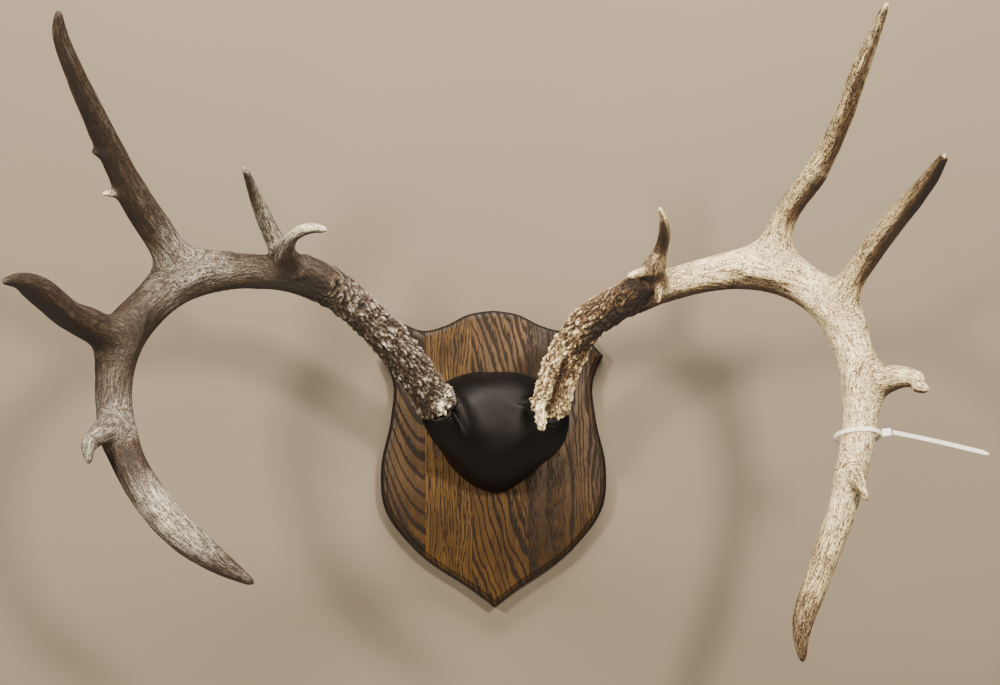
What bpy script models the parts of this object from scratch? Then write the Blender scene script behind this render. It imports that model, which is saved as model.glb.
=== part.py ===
"""White-tailed deer antlers on an oak shield plaque, at life size.

The origin is the centre of the plaque's back. +Z is up, +X is to the right as seen from
the front, and -Y points out of the wall. Left and right are as seen from the front.
Tables are in millimetres. Everything that Blender gets is in metres.
"""

import math

import bmesh
import bpy
import numpy as np
from mathutils import Matrix, Vector

MM = 0.001
GAP = 0.3

# Plaque: half of its symmetric outline, from the top's middle to the point at the bottom.
# Each run between two sharp corners is one smooth curve.
PLAQUE_THICKNESS = 19.0
PLAQUE_RUNS = (
    ((0, 132), (22, 128.5), (44, 118), (62, 114), (79, 120)),
    ((79, 120), (87, 105), (99, 91)),
    ((99, 91), (89.5, 68), (91.5, 35), (100, -8), (97.5, -42), (70, -81), (17, -119), (0, -132)),
)
OUTLINE_STEP = 13.0
EDGE_BAND = 6.5
# The routed edge: how far each level lies behind the face, and in from the outline.
EDGE_LEVELS = ((8.0, 0.0), (3.2, 1.2), (1.6, 4.2), (0.0, EDGE_BAND))

# Skull cap cover: half of its outline on the plaque, and where the crown of the dome lies.
COVER_HALF = ((0, -30), (15, -27.5), (32, -15), (44, 3), (50, 23), (50, 47), (42, 65), (22, 74), (0, 76))
COVER_STEP = 12.0
CROWN_DEPTH = 74.0
CROWN = (0.0, 38.0)
DOME_RINGS, DOME_TURN, DOME_FULLNESS = 7, math.radians(86), 0.85
SLEEVE_STRAIGHT = 14.0
PEDICLE_ROOT = (22.0, -44.0, 26.0)
PEDICLE_RADII = (23.0, 20.5, 18.0)
PEDICLE_SIDES = 14

# Antlers: stations (x, y, z, radius) along the middle of each branch, root to tip.
LEFT_BEAM = (
    (-50, -80, 42, 17.5), (-75, -106, 77, 16.3), (-105, -130, 110, 14.5), (-147, -151, 140, 15.6),
    (-185, -164, 147, 13.7), (-218, -170, 147, 14.6), (-252, -178, 138, 15.3), (-288, -193, 106, 16.0),
    (-302, -212, 51, 13.9), (-290, -223, -2, 13.0), (-254, -227, -54, 13.0), (-237, -227, -69, 12.0),
    (-221, -226, -81, 9.4), (-193, -221, -99, 2.3),
)
RIGHT_BEAM = (
    (45, -80, 39, 17.0), (58, -108, 85, 16.0), (74, -128, 109, 14.6), (124, -158, 133, 13.3),
    (191, -173, 146, 14.4), (219, -180, 144, 16.0), (248, -195, 127, 14.6), (273, -216, 80, 14.6),
    (275, -229, 30, 13.8), (259, -234, -43, 11.4), (240, -233, -94, 10.0), (226, -230, -141, 6.1),
    (227, -228, -162, 1.6),
)
# Each tine: its node, its stations, how much its root is widened along the branch it leaves,
# and the tines that it is also fitted against.
LEFT_TINES = (
    ("left_brow_tine_back", ((-177, -162, 148, 9.5), (-185, -172, 176, 7.6), (-194, -197, 197, 5.9),
                             (-199, -232, 220, 1.4)), 0.1, ()),
    ("left_brow_tine_hook", ((-172, -161, 147, 9.0), (-174, -184, 158, 6.8), (-166, -205, 170, 5.0),
                             (-149, -217, 175, 4.1), (-138, -220, 173, 1.5)), 0.35, ("left_brow_tine_back",)),
    ("left_second_tine", ((-252, -178, 141, 11.5), (-269, -196, 170, 13.6), (-284, -222, 195, 12.8),
                          (-301, -262, 233, 9.8), (-315, -314, 273, 6.5), (-322, -350, 306, 1.6)), 0.8, ()),
    ("left_third_tine", ((-293, -200, 84, 13.5), (-315, -230, 98, 12.6), (-327, -258, 104, 10.8),
                         (-341, -305, 116, 10.0), (-353, -360, 116, 1.2)), 0.75, ()),
    ("left_fourth_tine", ((-295, -218, 18, 10.5), (-305, -240, 15, 7.6), (-312, -250, 7, 5.6),
                          (-313, -256, -8, 1.6)), 0.7, ()),
)
RIGHT_TINES = (
    ("right_brow_tine", ((123, -158, 134, 9.0), (125, -178, 154, 7.6), (128, -196, 169, 4.8),
                         (121, -228, 190, 1.1)), 0.35, ()),
    ("right_brow_knob", ((128, -170, 143, 6.5), (112, -187, 143, 4.0), (99, -197, 139, 2.6)), 0.2,
     ("right_brow_tine",)),
    ("right_brow_spike", ((128, -166, 143, 5.5), (127, -180, 131, 3.7), (125, -185, 119, 1.1)), 0.2,
     ("right_brow_tine", "right_brow_knob")),
    ("right_second_tine", ((217, -180, 145, 11.5), (224, -198, 182, 9.6), (241, -234, 214, 9.4),
                           (250, -252, 232, 8.3), (265, -315, 292, 5.3), (274, -342, 322, 1.2)), 1.0, ()),
    ("right_third_tine", ((263, -205, 110, 11.5), (276, -231, 141, 9.8), (291, -270, 168, 8.6),
                          (305, -322, 193, 6.2), (309, -358, 207, 1.8)), 0.8, ()),
    ("right_fourth_tine", ((275, -224, 52, 11.0), (293, -238, 53, 9.8), (307, -250, 53, 8.8),
                           (322, -258, 44, 5.4)), 1.1, ()),
    ("right_fifth_tine", ((264, -233, -14, 7.5), (267, -247, -23, 5.3), (272, -258, -40, 1.1)), 0.3, ()),
)
# Small spurs and knobs that grow from the side of a burr or tine, joined to it.
SPURS = {
    "right_burr": (((39, -92, 40, 4.4), (36, -102, 34, 4.2), (36, -106, 25, 2.7)),),
    "left_second_tine": (
        ((-284, -226, 200, 5.0), (-297, -235, 199, 3.4), (-308, -241, 198, 1.0)),
        ((-302, -258, 227, 5.0), (-312, -262, 226, 2.0)),
    ),
    "right_second_tine": (((240, -234, 212, 7.0), (250, -240, 218, 4.0)),),
    "right_fourth_tine": (((313, -252, 52, 5.0), (319, -262, 56, 2.6)),),
}
# The beams are parted just past each fork. The burr is the first length of each.
BURR_LENGTH = 11.0
LEFT_CUTS = (206.0, 298.0, 366.0, 430.0)
RIGHT_CUTS = (174.0, 279.0, 338.0, 393.0, 457.0)
LEFT_NAMES = ("base", "middle", "outer", "lower", "tip")
RIGHT_NAMES = ("base", "middle", "outer", "upper_side", "lower_side", "tip")
BEAM_SIDES, BEAM_STEP = 12, 15.0
TINE_SIDES, TINE_STEP = 10, 13.0
WEB_LENGTH = 17.0
BURR_LOBES, BURR_SWELL = 7, 3.4

# Cable tie round the right beam.
TIE_WIDTH, TIE_THICKNESS = 3.6, 1.1
TIE_CENTRE, TIE_RADIUS, TIE_TILT = (272.5, -227.9, 10.5), 18.5, math.radians(-14)
TIE_HEAD, TIE_HEAD_TURN = (7.5, 5.0, 6.5), math.radians(-20.5)
TIE_TAIL_LENGTH, TIE_TAIL_DROP, TIE_TAIL_ROWS = 75.0, 17.2, 12

# Back of the plaque: a sunk sawtooth hanger and two countersunk screws.
HANGER_SIZE, HANGER_Z, HANGER_RECESS = (62.0, 14.0), 88.0, 3.4
HANGER_PLATE, HANGER_TEETH = 1.0, 9
HANGER_END = 8.0
TOOTH_DEPTH = 2.2
HANGER_NAIL_X, NAIL_RADII, NAIL_THICKNESS = 25.0, (1.9, 1.5), 1.0
SCREW_X, SCREW_Z, SCREW_HEAD, SCREW_RECESS, SCREW_THICKNESS = 22.0, 12.0, 4.2, 3.0, 1.8

model = None
cutters = None


def material(name, colour, roughness, metallic=0.0):
    """A Principled material with one colour, given as linear values from 0 to 1."""
    made = bpy.data.materials.new(name)
    made.use_nodes = True
    shader = made.node_tree.nodes["Principled BSDF"]
    shader.inputs["Base Color"].default_value = (*colour, 1.0)
    shader.inputs["Roughness"].default_value = roughness
    shader.inputs["Metallic"].default_value = metallic
    return made


def add_object(name, mesh, paint=None, cutter=False):
    """Put a mesh in the model, or among the cutters, which the model leaves out."""
    made = bpy.data.objects.new(name, mesh)
    (cutters if cutter else model).objects.link(made)
    if cutter:
        made.hide_render = True
        made.display_type = "WIRE"
    if paint:
        mesh.materials.append(paint)
    return made


def mesh_from(shape, name, smooth=True):
    """Turn a bmesh into a mesh, with its faces pointing out."""
    bmesh.ops.triangulate(shape, faces=shape.faces[:])
    bmesh.ops.recalc_face_normals(shape, faces=shape.faces[:])
    mesh = bpy.data.meshes.new(name)
    shape.to_mesh(mesh)
    shape.free()
    if smooth:
        mesh.shade_smooth()
        mesh.set_sharp_from_angle(angle=math.radians(40))
    return mesh


def boolean(target, cutter, operation):
    """Join a cutter to a target, or cut it away, and keep the result live."""
    step = target.modifiers.new(cutter.name, "BOOLEAN")
    step.operation = operation
    step.solver = "EXACT"
    step.object = cutter


def hermite(stations, step):
    """A smooth curve through stations, with a sample about every step along it.

    Each stretch is a cubic whose end slopes are the mean of its neighbours' slopes,
    weighted by the other one's length, so that uneven spacing makes no bulge.
    """
    points = np.asarray(stations, float)
    spans = np.linalg.norm(np.diff(points[:, :3], axis=0), axis=1)
    rates = np.diff(points, axis=0) / spans[:, None]
    slopes = np.repeat(rates[:1], len(points), axis=0)
    share = (spans[1:] / (spans[:-1] + spans[1:]))[:, None]
    slopes[1:-1] = rates[:-1] * share + rates[1:] * (1 - share)
    slopes[0] = 1.5 * rates[0] - 0.5 * slopes[1]
    slopes[-1] = 1.5 * rates[-1] - 0.5 * slopes[-2]
    pieces = []
    for i, span in enumerate(spans):
        t = np.linspace(0, 1, max(2, math.ceil(span / step) + 1))[:-1, None]
        pieces.append(
            (2 * t**3 - 3 * t**2 + 1) * points[i] + (t**3 - 2 * t**2 + t) * span * slopes[i]
            + (3 * t**2 - 2 * t**3) * points[i + 1] + (t**3 - t**2) * span * slopes[i + 1]
        )
    return np.vstack(pieces + [points[-1:]])


class Branch:
    """The middle line of a beam or tine, read by distance from its root."""

    def __init__(self, stations, across=(0.0, 0.0, 1.0)):
        self.samples = hermite(stations, 1.0)
        centre = self.samples[:, :3]
        self.along = np.concatenate(([0.0], np.cumsum(np.linalg.norm(np.diff(centre, axis=0), axis=1))))
        self.length = self.along[-1]
        tangents = np.gradient(centre, self.along, axis=0)
        self.tangents = tangents / np.linalg.norm(tangents, axis=1)[:, None]
        normals = []
        normal = np.asarray(across, float)
        for tangent in self.tangents:
            normal = normal - tangent * normal.dot(tangent)
            normal /= np.linalg.norm(normal)
            normals.append(normal)
        self.normals = np.array(normals)

    def read(self, values, s):
        """A column of values at distance s from the root."""
        return np.array([np.interp(s, self.along, column) for column in values.T])

    def nearest(self, point):
        """The distance from the root of the place nearest to a point."""
        gaps = np.linalg.norm(self.samples[:, :3] - np.asarray(point, float), axis=1)
        return self.along[gaps.argmin()]


def even_stops(start, end, step):
    """Places from start to end, as near to a step apart as divides evenly."""
    return list(np.linspace(start, end, max(2, round((end - start) / step) + 1)))


def rounded_tip(branch, start, step):
    """Stops from start to a branch's tip, drawn close together over its rounded end."""
    reach = branch.read(branch.samples, branch.length)[3] * 2.2
    stops = even_stops(start, branch.length - reach, step)
    return stops + [branch.length - reach * part for part in (0.62, 0.3, 0.08)], reach


def tube(branch, name, start, end=None, sides=TINE_SIDES, step=TINE_STEP, web=0.0, grow=0.0, lobes=None):
    """A closed loft along a branch, from start to end, or to its rounded tip.

    web widens the root along the parent branch, grow adds to every radius, and lobes gives
    the extra radius at an angle and a distance along the branch.
    """
    if end is None:
        stops, reach = rounded_tip(branch, start, step)
    else:
        stops, reach = even_stops(start, end, step), 0.0
    angles = np.arange(sides) * 2 * math.pi / sides
    shape = bmesh.new()
    rings = []
    for s in stops:
        *centre, radius = branch.read(branch.samples, s)
        if reach and s > branch.length - reach:
            radius *= math.sqrt(1 - ((s - branch.length + reach) / reach) ** 2)
        tangent = branch.read(branch.tangents, s)
        tangent /= np.linalg.norm(tangent)
        normal = branch.read(branch.normals, s)
        normal -= tangent * normal.dot(tangent)
        normal /= np.linalg.norm(normal)
        side = np.cross(tangent, normal)
        widen = 1 + web * math.exp(-((s / WEB_LENGTH) ** 2))
        radii = radius + grow + (lobes(angles, s) if lobes else np.zeros(sides))
        ring = (
            np.array(centre)
            + np.outer((radii * widen) * np.cos(angles), normal)
            + np.outer(radii * np.sin(angles), side)
        )
        rings.append([shape.verts.new(point * MM) for point in ring])
    for below, above in zip(rings, rings[1:]):
        for i in range(sides):
            j = (i + 1) % sides
            shape.faces.new((below[i], below[j], above[j], above[i]))
    shape.faces.new(rings[0][::-1])
    shape.faces.new(rings[-1])
    return mesh_from(shape, name)


def outline_ring(runs, step):
    """A closed ring of (x, z) points from half outlines, mirrored in x = 0."""
    half = []
    for run in runs:
        curve = hermite([(x, z, 0.0) for x, z in run], step)[:, :2]
        half.extend(curve if not half else curve[1:])
    half = np.array(half)
    return np.vstack((half, half[-2:0:-1] * (-1, 1)))


def inset(ring, distance):
    """Move each point of a clockwise ring inwards, by the same distance from both its sides."""
    before = ring - np.roll(ring, 1, axis=0)
    after = np.roll(ring, -1, axis=0) - ring
    inward = []
    for edge in (before, after):
        edge = edge / np.linalg.norm(edge, axis=1)[:, None]
        inward.append(np.column_stack((edge[:, 1], -edge[:, 0])))
    mitre = inward[0] + inward[1]
    length = 1 + (inward[0] * inward[1]).sum(axis=1)
    return ring + distance * mitre / length[:, None]


def stacked(rings, name):
    """A closed body through rings of equal count, each a pair of a depth and its points."""
    shape = bmesh.new()
    levels = [[shape.verts.new((x * MM, depth * MM, z * MM)) for x, z in ring] for depth, ring in rings]
    for below, above in zip(levels, levels[1:]):
        for i in range(len(below)):
            j = (i + 1) % len(below)
            shape.faces.new((below[i], below[j], above[j], above[i]))
    shape.faces.new(levels[0][::-1])
    shape.faces.new(levels[-1])
    return mesh_from(shape, name)


def box(name, size, centre, **kind):
    """A box from its size and centre."""
    shape = bmesh.new()
    bmesh.ops.create_cube(shape, size=1.0)
    bmesh.ops.scale(shape, vec=Vector(size) * MM, verts=shape.verts)
    bmesh.ops.translate(shape, vec=Vector(centre) * MM, verts=shape.verts)
    return add_object(name, mesh_from(shape, name, smooth=False), **kind)


def round_bar(name, radii, length, centre, sides=20, **kind):
    """A cylinder or cone along Y: radii are those at its front and back."""
    shape = bmesh.new()
    bmesh.ops.create_cone(
        shape, cap_ends=True, segments=sides, radius1=radii[0] * MM, radius2=radii[1] * MM,
        depth=length * MM,
        matrix=Matrix.Translation(Vector(centre) * MM) @ Matrix.Rotation(math.radians(-90), 4, "X"),
    )
    return add_object(name, mesh_from(shape, name), **kind)


def build_plaque(wood):
    """The shield, its routed edge, and the recesses in its back."""
    ring = outline_ring(PLAQUE_RUNS, OUTLINE_STEP)
    rings = [(0.0, ring)] + [(depth - PLAQUE_THICKNESS, inset(ring, by)) for depth, by in EDGE_LEVELS]
    board = add_object("plaque_board", stacked(rings, "plaque_board"), wood)
    width, height = HANGER_SIZE
    recess = box("cut_hanger_recess", (width, 2 * HANGER_RECESS, height), (0, 0, HANGER_Z), cutter=True)
    boolean(board, recess, "DIFFERENCE")
    for side in (-1, 1):
        hole = round_bar(
            f"cut_screw_{side}", (SCREW_HEAD + GAP, SCREW_HEAD + GAP), 2 * SCREW_RECESS,
            (side * SCREW_X, 0, SCREW_Z), cutter=True,
        )
        boolean(board, hole, "DIFFERENCE")


def build_hanger(steel):
    """The sawtooth plate in its recess, its two nails, and the screws that hold the skull cap."""
    width, height = HANGER_SIZE[0] - 6, HANGER_SIZE[1] - 5
    tooth = (width - 2 * HANGER_END) / HANGER_TEETH
    face_y = -HANGER_RECESS + GAP
    shape = bmesh.new()
    edge = [(-width / 2, height / 2), (-width / 2, -height / 2), (-width / 2 + HANGER_END, -height / 2)]
    for i in range(HANGER_TEETH):
        left = -width / 2 + HANGER_END + i * tooth
        edge += [(left + tooth / 2, -height / 2 + TOOTH_DEPTH), (left + tooth, -height / 2)]
    edge += [(width / 2, -height / 2), (width / 2, height / 2)]
    sheet = shape.faces.new([shape.verts.new((x * MM, face_y * MM, (HANGER_Z + z) * MM)) for x, z in edge])
    pushed = bmesh.ops.extrude_face_region(shape, geom=[sheet])["geom"]
    moved = [part for part in pushed if isinstance(part, bmesh.types.BMVert)]
    bmesh.ops.translate(shape, vec=(0, HANGER_PLATE * MM, 0), verts=moved)
    add_object("hanger_plate", mesh_from(shape, "hanger_plate", smooth=False), steel)
    plate_back = face_y + HANGER_PLATE
    for side, word in ((-1, "left"), (1, "right")):
        nail_centre = (side * HANGER_NAIL_X, plate_back + GAP + NAIL_THICKNESS / 2, HANGER_Z + 0.5)
        round_bar(f"hanger_nail_{word}", NAIL_RADII, NAIL_THICKNESS, nail_centre, sides=12, paint=steel)
        screw_centre = (side * SCREW_X, -SCREW_RECESS + GAP + SCREW_THICKNESS / 2, SCREW_Z)
        screw_radii = (SCREW_HEAD - 1, SCREW_HEAD)
        round_bar(f"back_screw_{word}", screw_radii, SCREW_THICKNESS, screw_centre, paint=steel)


def build_cover(leather, beams):
    """The moulded cover of the skull cap, with a sleeve up each pedicle to the burr."""
    ring = outline_ring((COVER_HALF,), COVER_STEP)
    crown = np.array(CROWN)
    base = -PLAQUE_THICKNESS - GAP
    rings = []
    for i in range(DOME_RINGS):
        turn = DOME_TURN * i / (DOME_RINGS - 1)
        rise = math.sin(turn)
        shrink = math.cos(turn) ** DOME_FULLNESS
        rings.append((base - rise * (CROWN_DEPTH + base), crown * (1 - shrink) + ring * shrink))
    cover = add_object("skull_cap_cover", stacked(rings, "skull_cap_cover"), leather)
    for word, beam in beams.items():
        side = -1 if word == "left" else 1
        root = np.array(PEDICLE_ROOT) * (side, 1, 1)
        end = beam.samples[0, :3] - beam.tangents[0] * GAP
        middle = end - beam.tangents[0] * SLEEVE_STRAIGHT
        sleeve = Branch([(*point, radius) for point, radius in zip((root, middle, end), PEDICLE_RADII)])
        sleeve.tangents[-1] = beam.tangents[0]
        joined = f"join_{word}_pedicle"
        loft = tube(sleeve, joined, 0.0, sleeve.length, sides=PEDICLE_SIDES, step=11.0)
        boolean(cover, add_object(joined, loft, cutter=True), "UNION")


def burr_lobes(angles, s):
    """The burr's ring of coarse pearls: it swells out, and back in at both ends."""
    swell = math.sin(math.pi * min(1.0, (s + 2.0) / (BURR_LENGTH + 4.0)))
    return BURR_SWELL * swell * (0.75 + 0.25 * np.cos(BURR_LOBES * angles))


def add_spurs(grown, node):
    """Join a node's spurs to it."""
    for i, stations in enumerate(SPURS.get(node, ())):
        spur = tube(Branch(stations), f"join_{node}_{i}", 0.0, sides=8, step=4.0)
        boolean(grown, add_object(f"join_{node}_{i}", spur, cutter=True), "UNION")


def build_antler(side, beam, cuts, names, tines, bone):
    """One antler: its burr, the lengths of its beam, and its tines, fitted to each other."""
    burr = f"{side}_burr"
    collar = tube(beam, burr, 0.0, BURR_LENGTH - GAP / 2, sides=28, step=3.5, lobes=burr_lobes)
    add_spurs(add_object(burr, collar, bone), burr)
    ends = (BURR_LENGTH, *cuts, None)
    for name, start, end in zip(names, ends, ends[1:]):
        node = f"{side}_beam_{name}"
        stop = None if end is None else end - GAP / 2
        add_object(node, tube(beam, node, start + GAP / 2, stop, BEAM_SIDES, BEAM_STEP), bone)
    cut = f"cut_{side}_beam"
    beam_cut = add_object(cut, tube(beam, cut, 0.0, None, BEAM_SIDES, BEAM_STEP / 2, grow=GAP), cutter=True)
    made = {}
    for node, stations, web, others in tines:
        direction = beam.read(beam.tangents, beam.nearest(stations[0][:3]))
        branch = Branch(stations, across=direction)
        tine = add_object(node, tube(branch, node, 0.0, web=web), bone)
        add_spurs(tine, node)
        boolean(tine, beam_cut, "DIFFERENCE")
        for other in others:
            boolean(tine, made[other], "DIFFERENCE")
        cut = f"cut_{node}"
        made[node] = add_object(cut, tube(branch, cut, 0.0, web=web, grow=GAP), cutter=True)


def build_tie(nylon):
    """The cable tie: its loop, its head, and its loose tail."""
    centre = Vector(TIE_CENTRE)
    tilt = Matrix.Rotation(TIE_TILT, 4, "X")
    shape = bmesh.new()
    bmesh.ops.create_cone(
        shape, cap_ends=False, segments=32, radius1=TIE_RADIUS * MM, radius2=TIE_RADIUS * MM,
        depth=TIE_WIDTH * MM, matrix=Matrix.Translation(centre * MM) @ tilt,
    )
    mesh = bpy.data.meshes.new("cable_tie_loop")
    shape.to_mesh(mesh)
    shape.free()
    loop = add_object("cable_tie_loop", mesh, nylon)
    wall = loop.modifiers.new("wall", "SOLIDIFY")
    wall.thickness = TIE_THICKNESS * MM
    wall.offset = 0.0

    out = tilt @ Matrix.Rotation(TIE_HEAD_TURN, 4, "Z")
    head_x = TIE_RADIUS + TIE_THICKNESS / 2 + GAP + TIE_HEAD[0] / 2
    head = box("cable_tie_head", TIE_HEAD, (0, 0, 0), paint=nylon)
    head.matrix_world = Matrix.Translation((centre + out @ Vector((head_x, 0, 0))) * MM) @ out
    softened = head.modifiers.new("edges", "BEVEL")
    softened.width = 0.8 * MM
    softened.segments = 2

    start = centre + out @ Vector((head_x + TIE_HEAD[0] / 2 + 2 * GAP, 0, 0))
    shape = bmesh.new()
    rows = []
    for i in range(TIE_TAIL_ROWS + 1):
        part = i / TIE_TAIL_ROWS
        sag = -TIE_TAIL_DROP * (0.85 * part + 0.15 * part**2)
        half = TIE_WIDTH / 2 * (0.45 if i == TIE_TAIL_ROWS else 1.0)
        middle = start + Vector((TIE_TAIL_LENGTH * part, 0, sag))
        rows.append([shape.verts.new((middle + Vector((0, 0, z))) * MM) for z in (-half, half)])
    for near, far in zip(rows, rows[1:]):
        shape.faces.new((near[0], far[0], far[1], near[1]))
    mesh = bpy.data.meshes.new("cable_tie_tail")
    shape.to_mesh(mesh)
    shape.free()
    tail = add_object("cable_tie_tail", mesh, nylon)
    wall = tail.modifiers.new("wall", "SOLIDIFY")
    wall.thickness = TIE_THICKNESS * MM
    wall.offset = 0.0


def main():
    """Clear the scene and build every part."""
    global model, cutters
    for old in list(bpy.data.objects):
        bpy.data.objects.remove(old, do_unlink=True)
    model = bpy.data.collections.new("antler_plaque_mount")
    cutters = bpy.data.collections.new("cutters")
    for collection in (model, cutters):
        bpy.context.scene.collection.children.link(collection)

    beams = {"left": Branch(LEFT_BEAM), "right": Branch(RIGHT_BEAM)}
    grey_bone = material("grey_brown_antler", (0.3, 0.24, 0.17), 0.5)
    pale_bone = material("pale_antler", (0.5, 0.41, 0.3), 0.5)
    build_plaque(material("stained_oak", (0.16, 0.075, 0.025), 0.4))
    build_hanger(material("zinc_steel", (0.55, 0.55, 0.53), 0.35, 1.0))
    build_cover(material("black_leather", (0.012, 0.01, 0.01), 0.45), beams)
    build_antler("left", beams["left"], LEFT_CUTS, LEFT_NAMES, LEFT_TINES, grey_bone)
    build_antler("right", beams["right"], RIGHT_CUTS, RIGHT_NAMES, RIGHT_TINES, pale_bone)
    build_tie(material("white_nylon", (0.75, 0.76, 0.76), 0.35))


main()
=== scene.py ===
# %% [markdown]
# # White-tailed deer antlers on an oak shield
# A hunter keeps a buck's antlers by sawing off the top of the skull, screwing it to a wooden
# shield and hiding the bone under a moulded leather cover. This lesson dresses the packed
# model of such a mount. The model gives every size and place, in metres, with +Z up and -Y out
# of the wall. Each cell adds one piece or one finish. Left and right are as seen from the front.

# %% Load the frame
import itertools
import math
from functools import partial

import bmesh
import bpy
import numpy as np
from mathutils import Matrix, Vector


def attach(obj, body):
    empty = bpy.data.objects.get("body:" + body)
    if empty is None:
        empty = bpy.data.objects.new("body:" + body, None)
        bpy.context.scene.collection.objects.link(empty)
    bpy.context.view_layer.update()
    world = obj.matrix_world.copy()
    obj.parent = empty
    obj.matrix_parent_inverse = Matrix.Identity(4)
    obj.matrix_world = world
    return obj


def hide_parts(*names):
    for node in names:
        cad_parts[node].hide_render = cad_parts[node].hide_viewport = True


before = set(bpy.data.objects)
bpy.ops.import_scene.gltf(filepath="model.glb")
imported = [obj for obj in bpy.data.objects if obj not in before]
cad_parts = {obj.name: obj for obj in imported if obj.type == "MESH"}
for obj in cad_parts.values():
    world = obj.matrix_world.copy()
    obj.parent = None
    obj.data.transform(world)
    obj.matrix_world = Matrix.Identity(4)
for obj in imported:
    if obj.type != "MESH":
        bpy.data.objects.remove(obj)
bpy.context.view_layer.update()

MM = 0.001
GAP = 0.3  # mm of air between neighbouring pieces

# %% [markdown]
# ## Camera
# The mount hangs a little above eye level, so the camera looks slightly up, and it stands a
# little left of the middle. A lens of 64 mm from 1.6 m away keeps the near tines from looming.

# %% Camera
CAMERA_AIM, CAMERA_DISTANCE, CAMERA_LENS = Vector((6.8, 0.0, 104.3)) * MM, 1.6, 63.9
CAMERA_TURNS = ((-2.8, "Z"), (90.0 + 5.0, "X"), (-0.38, "Z"))  # yaw, level and up, roll, in degrees


def new_object(name, data):
    """An object in the scene."""
    made = bpy.data.objects.new(name, data)
    bpy.context.scene.collection.objects.link(made)
    return made


camera = new_object("camera", bpy.data.cameras.new("camera"))
camera.data.lens = CAMERA_LENS
view = Matrix.Translation(CAMERA_AIM)
for degrees, axis in CAMERA_TURNS:
    view = view @ Matrix.Rotation(math.radians(degrees), 4, axis)
camera.matrix_world = view @ Matrix.Translation((0, 0, CAMERA_DISTANCE))
bpy.context.scene.camera = camera
print("camera at", [round(v, 3) for v in camera.matrix_world.translation])

# %% [markdown]
# ## Helpers for materials
# Colours are written as sRGB hex, the way a paint chart gives them, and one function turns them
# to the linear values that shaders use. Another adds a shader node with its settings and links,
# so that a material reads as a short list of what it mixes. A map range takes four numbers: the
# low and high value that come in, and those that go out.

# %% Colour and node helpers
TIMES, MINUS, TIMES_PLUS = "MULTIPLY", "SUBTRACT", "MULTIPLY_ADD"


def linear(code):
    """sRGB hex to linear RGBA: v / 12.92 below 0.04045, and ((v + 0.055) / 1.055) ** 2.4 above."""
    values = [int(code[i:i + 2], 16) / 255 for i in (1, 3, 5)]
    return (*(v / 12.92 if v <= 0.04045 else ((v + 0.055) / 1.055) ** 2.4 for v in values), 1.0)


def feed(node, *values, **named):
    """Fill a node's inputs: values in their order, and named ones by identifier, with _ for a space.

    Each is a number, a tuple, a hex colour, a node, whose first live output is linked, or an output.
    """
    inputs = {socket.identifier.replace(" ", "_"): socket for socket in node.inputs}
    for name, value in (*zip(inputs, values), *named.items()):
        if isinstance(value, bpy.types.Node):
            value = next(output for output in value.outputs if output.enabled)
        if isinstance(value, bpy.types.NodeSocket):
            node.id_data.links.new(value, inputs[name])
        else:
            inputs[name].default_value = linear(value) if isinstance(value, str) else value
    return node


def add_node(tree, kind, *values, stops=(), **named):
    """Add a node and feed it. Names in small letters are its properties, such as operation.

    stops are the (place, colour) pairs of a colour ramp.
    """
    made = tree.nodes.new("ShaderNode" + kind)
    for name in filter(str.islower, named):
        setattr(made, name, named[name])
    for i, (place, colour) in enumerate(stops):
        element = made.color_ramp.elements[i] if i < 2 else made.color_ramp.elements.new(1.0)
        element.position = place
        element.color = linear(colour) if isinstance(colour, str) else colour
    return feed(made, *values, **{name: named[name] for name in named if not name.islower()})


def new_material(name):
    """A material, its own form of add_node, its Principled shader and its Object coordinates."""
    made = bpy.data.materials.new(name)
    made.use_nodes = True
    add = partial(add_node, made.node_tree)
    return made, add, made.node_tree.nodes["Principled BSDF"], add("TexCoord").outputs["Object"]


def soft_finish(add, shader, pattern, colours, gloss, strength, depth, height=None, **constants):
    """Let one soft noise carry a finish: its two colours, its range of roughness and its bump."""
    feed(shader, Base_Color=add("ValToRGB", pattern, stops=zip((0.3, 0.7), colours)),
         Roughness=add("MapRange", pattern, 0.3, 0.7, *gloss),
         Normal=add("Bump", Strength=strength, Distance=depth, Height=height or pattern), **constants)


print("ivory in linear light:", [round(v, 3) for v in linear("#e8dcc0")[:3]])

# %% [markdown]
# ## Stage and light
# The mount hangs on a plain pale wall, above a plain pale floor. The wall is there for the camera
# alone: it throws no shadow and sends no light back, so the back of the shield is still lit when
# the mount is turned round, and from behind the wall is clear. A small lamp on either side models
# the round beams, a long one above lights their tops, and the world fills in the rest.

# %% Stage and light
FLOOR_Z, STAGE_HALF, WALL_TOP, WALL_Y = -1.45, 3.0, 2.4, 0.0006


def stage_sheet(name, low, high, shade, clear_back=False):
    """A flat sheet of the stage between two opposite corners, in metres, with a soft mottle."""
    mesh = bpy.data.meshes.new(name)
    mesh.from_pydata([low, (high[0], *low[1:]), high, (low[0], *high[1:])], [], [(0, 1, 2, 3)])
    sheet = new_object(name, mesh)
    paint, add, shader, place = new_material(name + "_paint")
    mottle = add("TexNoise", place, Scale=1.5, Detail=3.0)
    feed(shader, Base_Color=add("ValToRGB", mottle, stops=zip((0.3, 0.7), shade)), Roughness=0.9)
    if clear_back:
        feed(paint.node_tree.nodes["Material Output"], Surface=add(
            "MixShader", add("NewGeometry").outputs["Backfacing"], shader, add("BsdfTransparent")))
    mesh.materials.append(paint)
    return sheet


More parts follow.
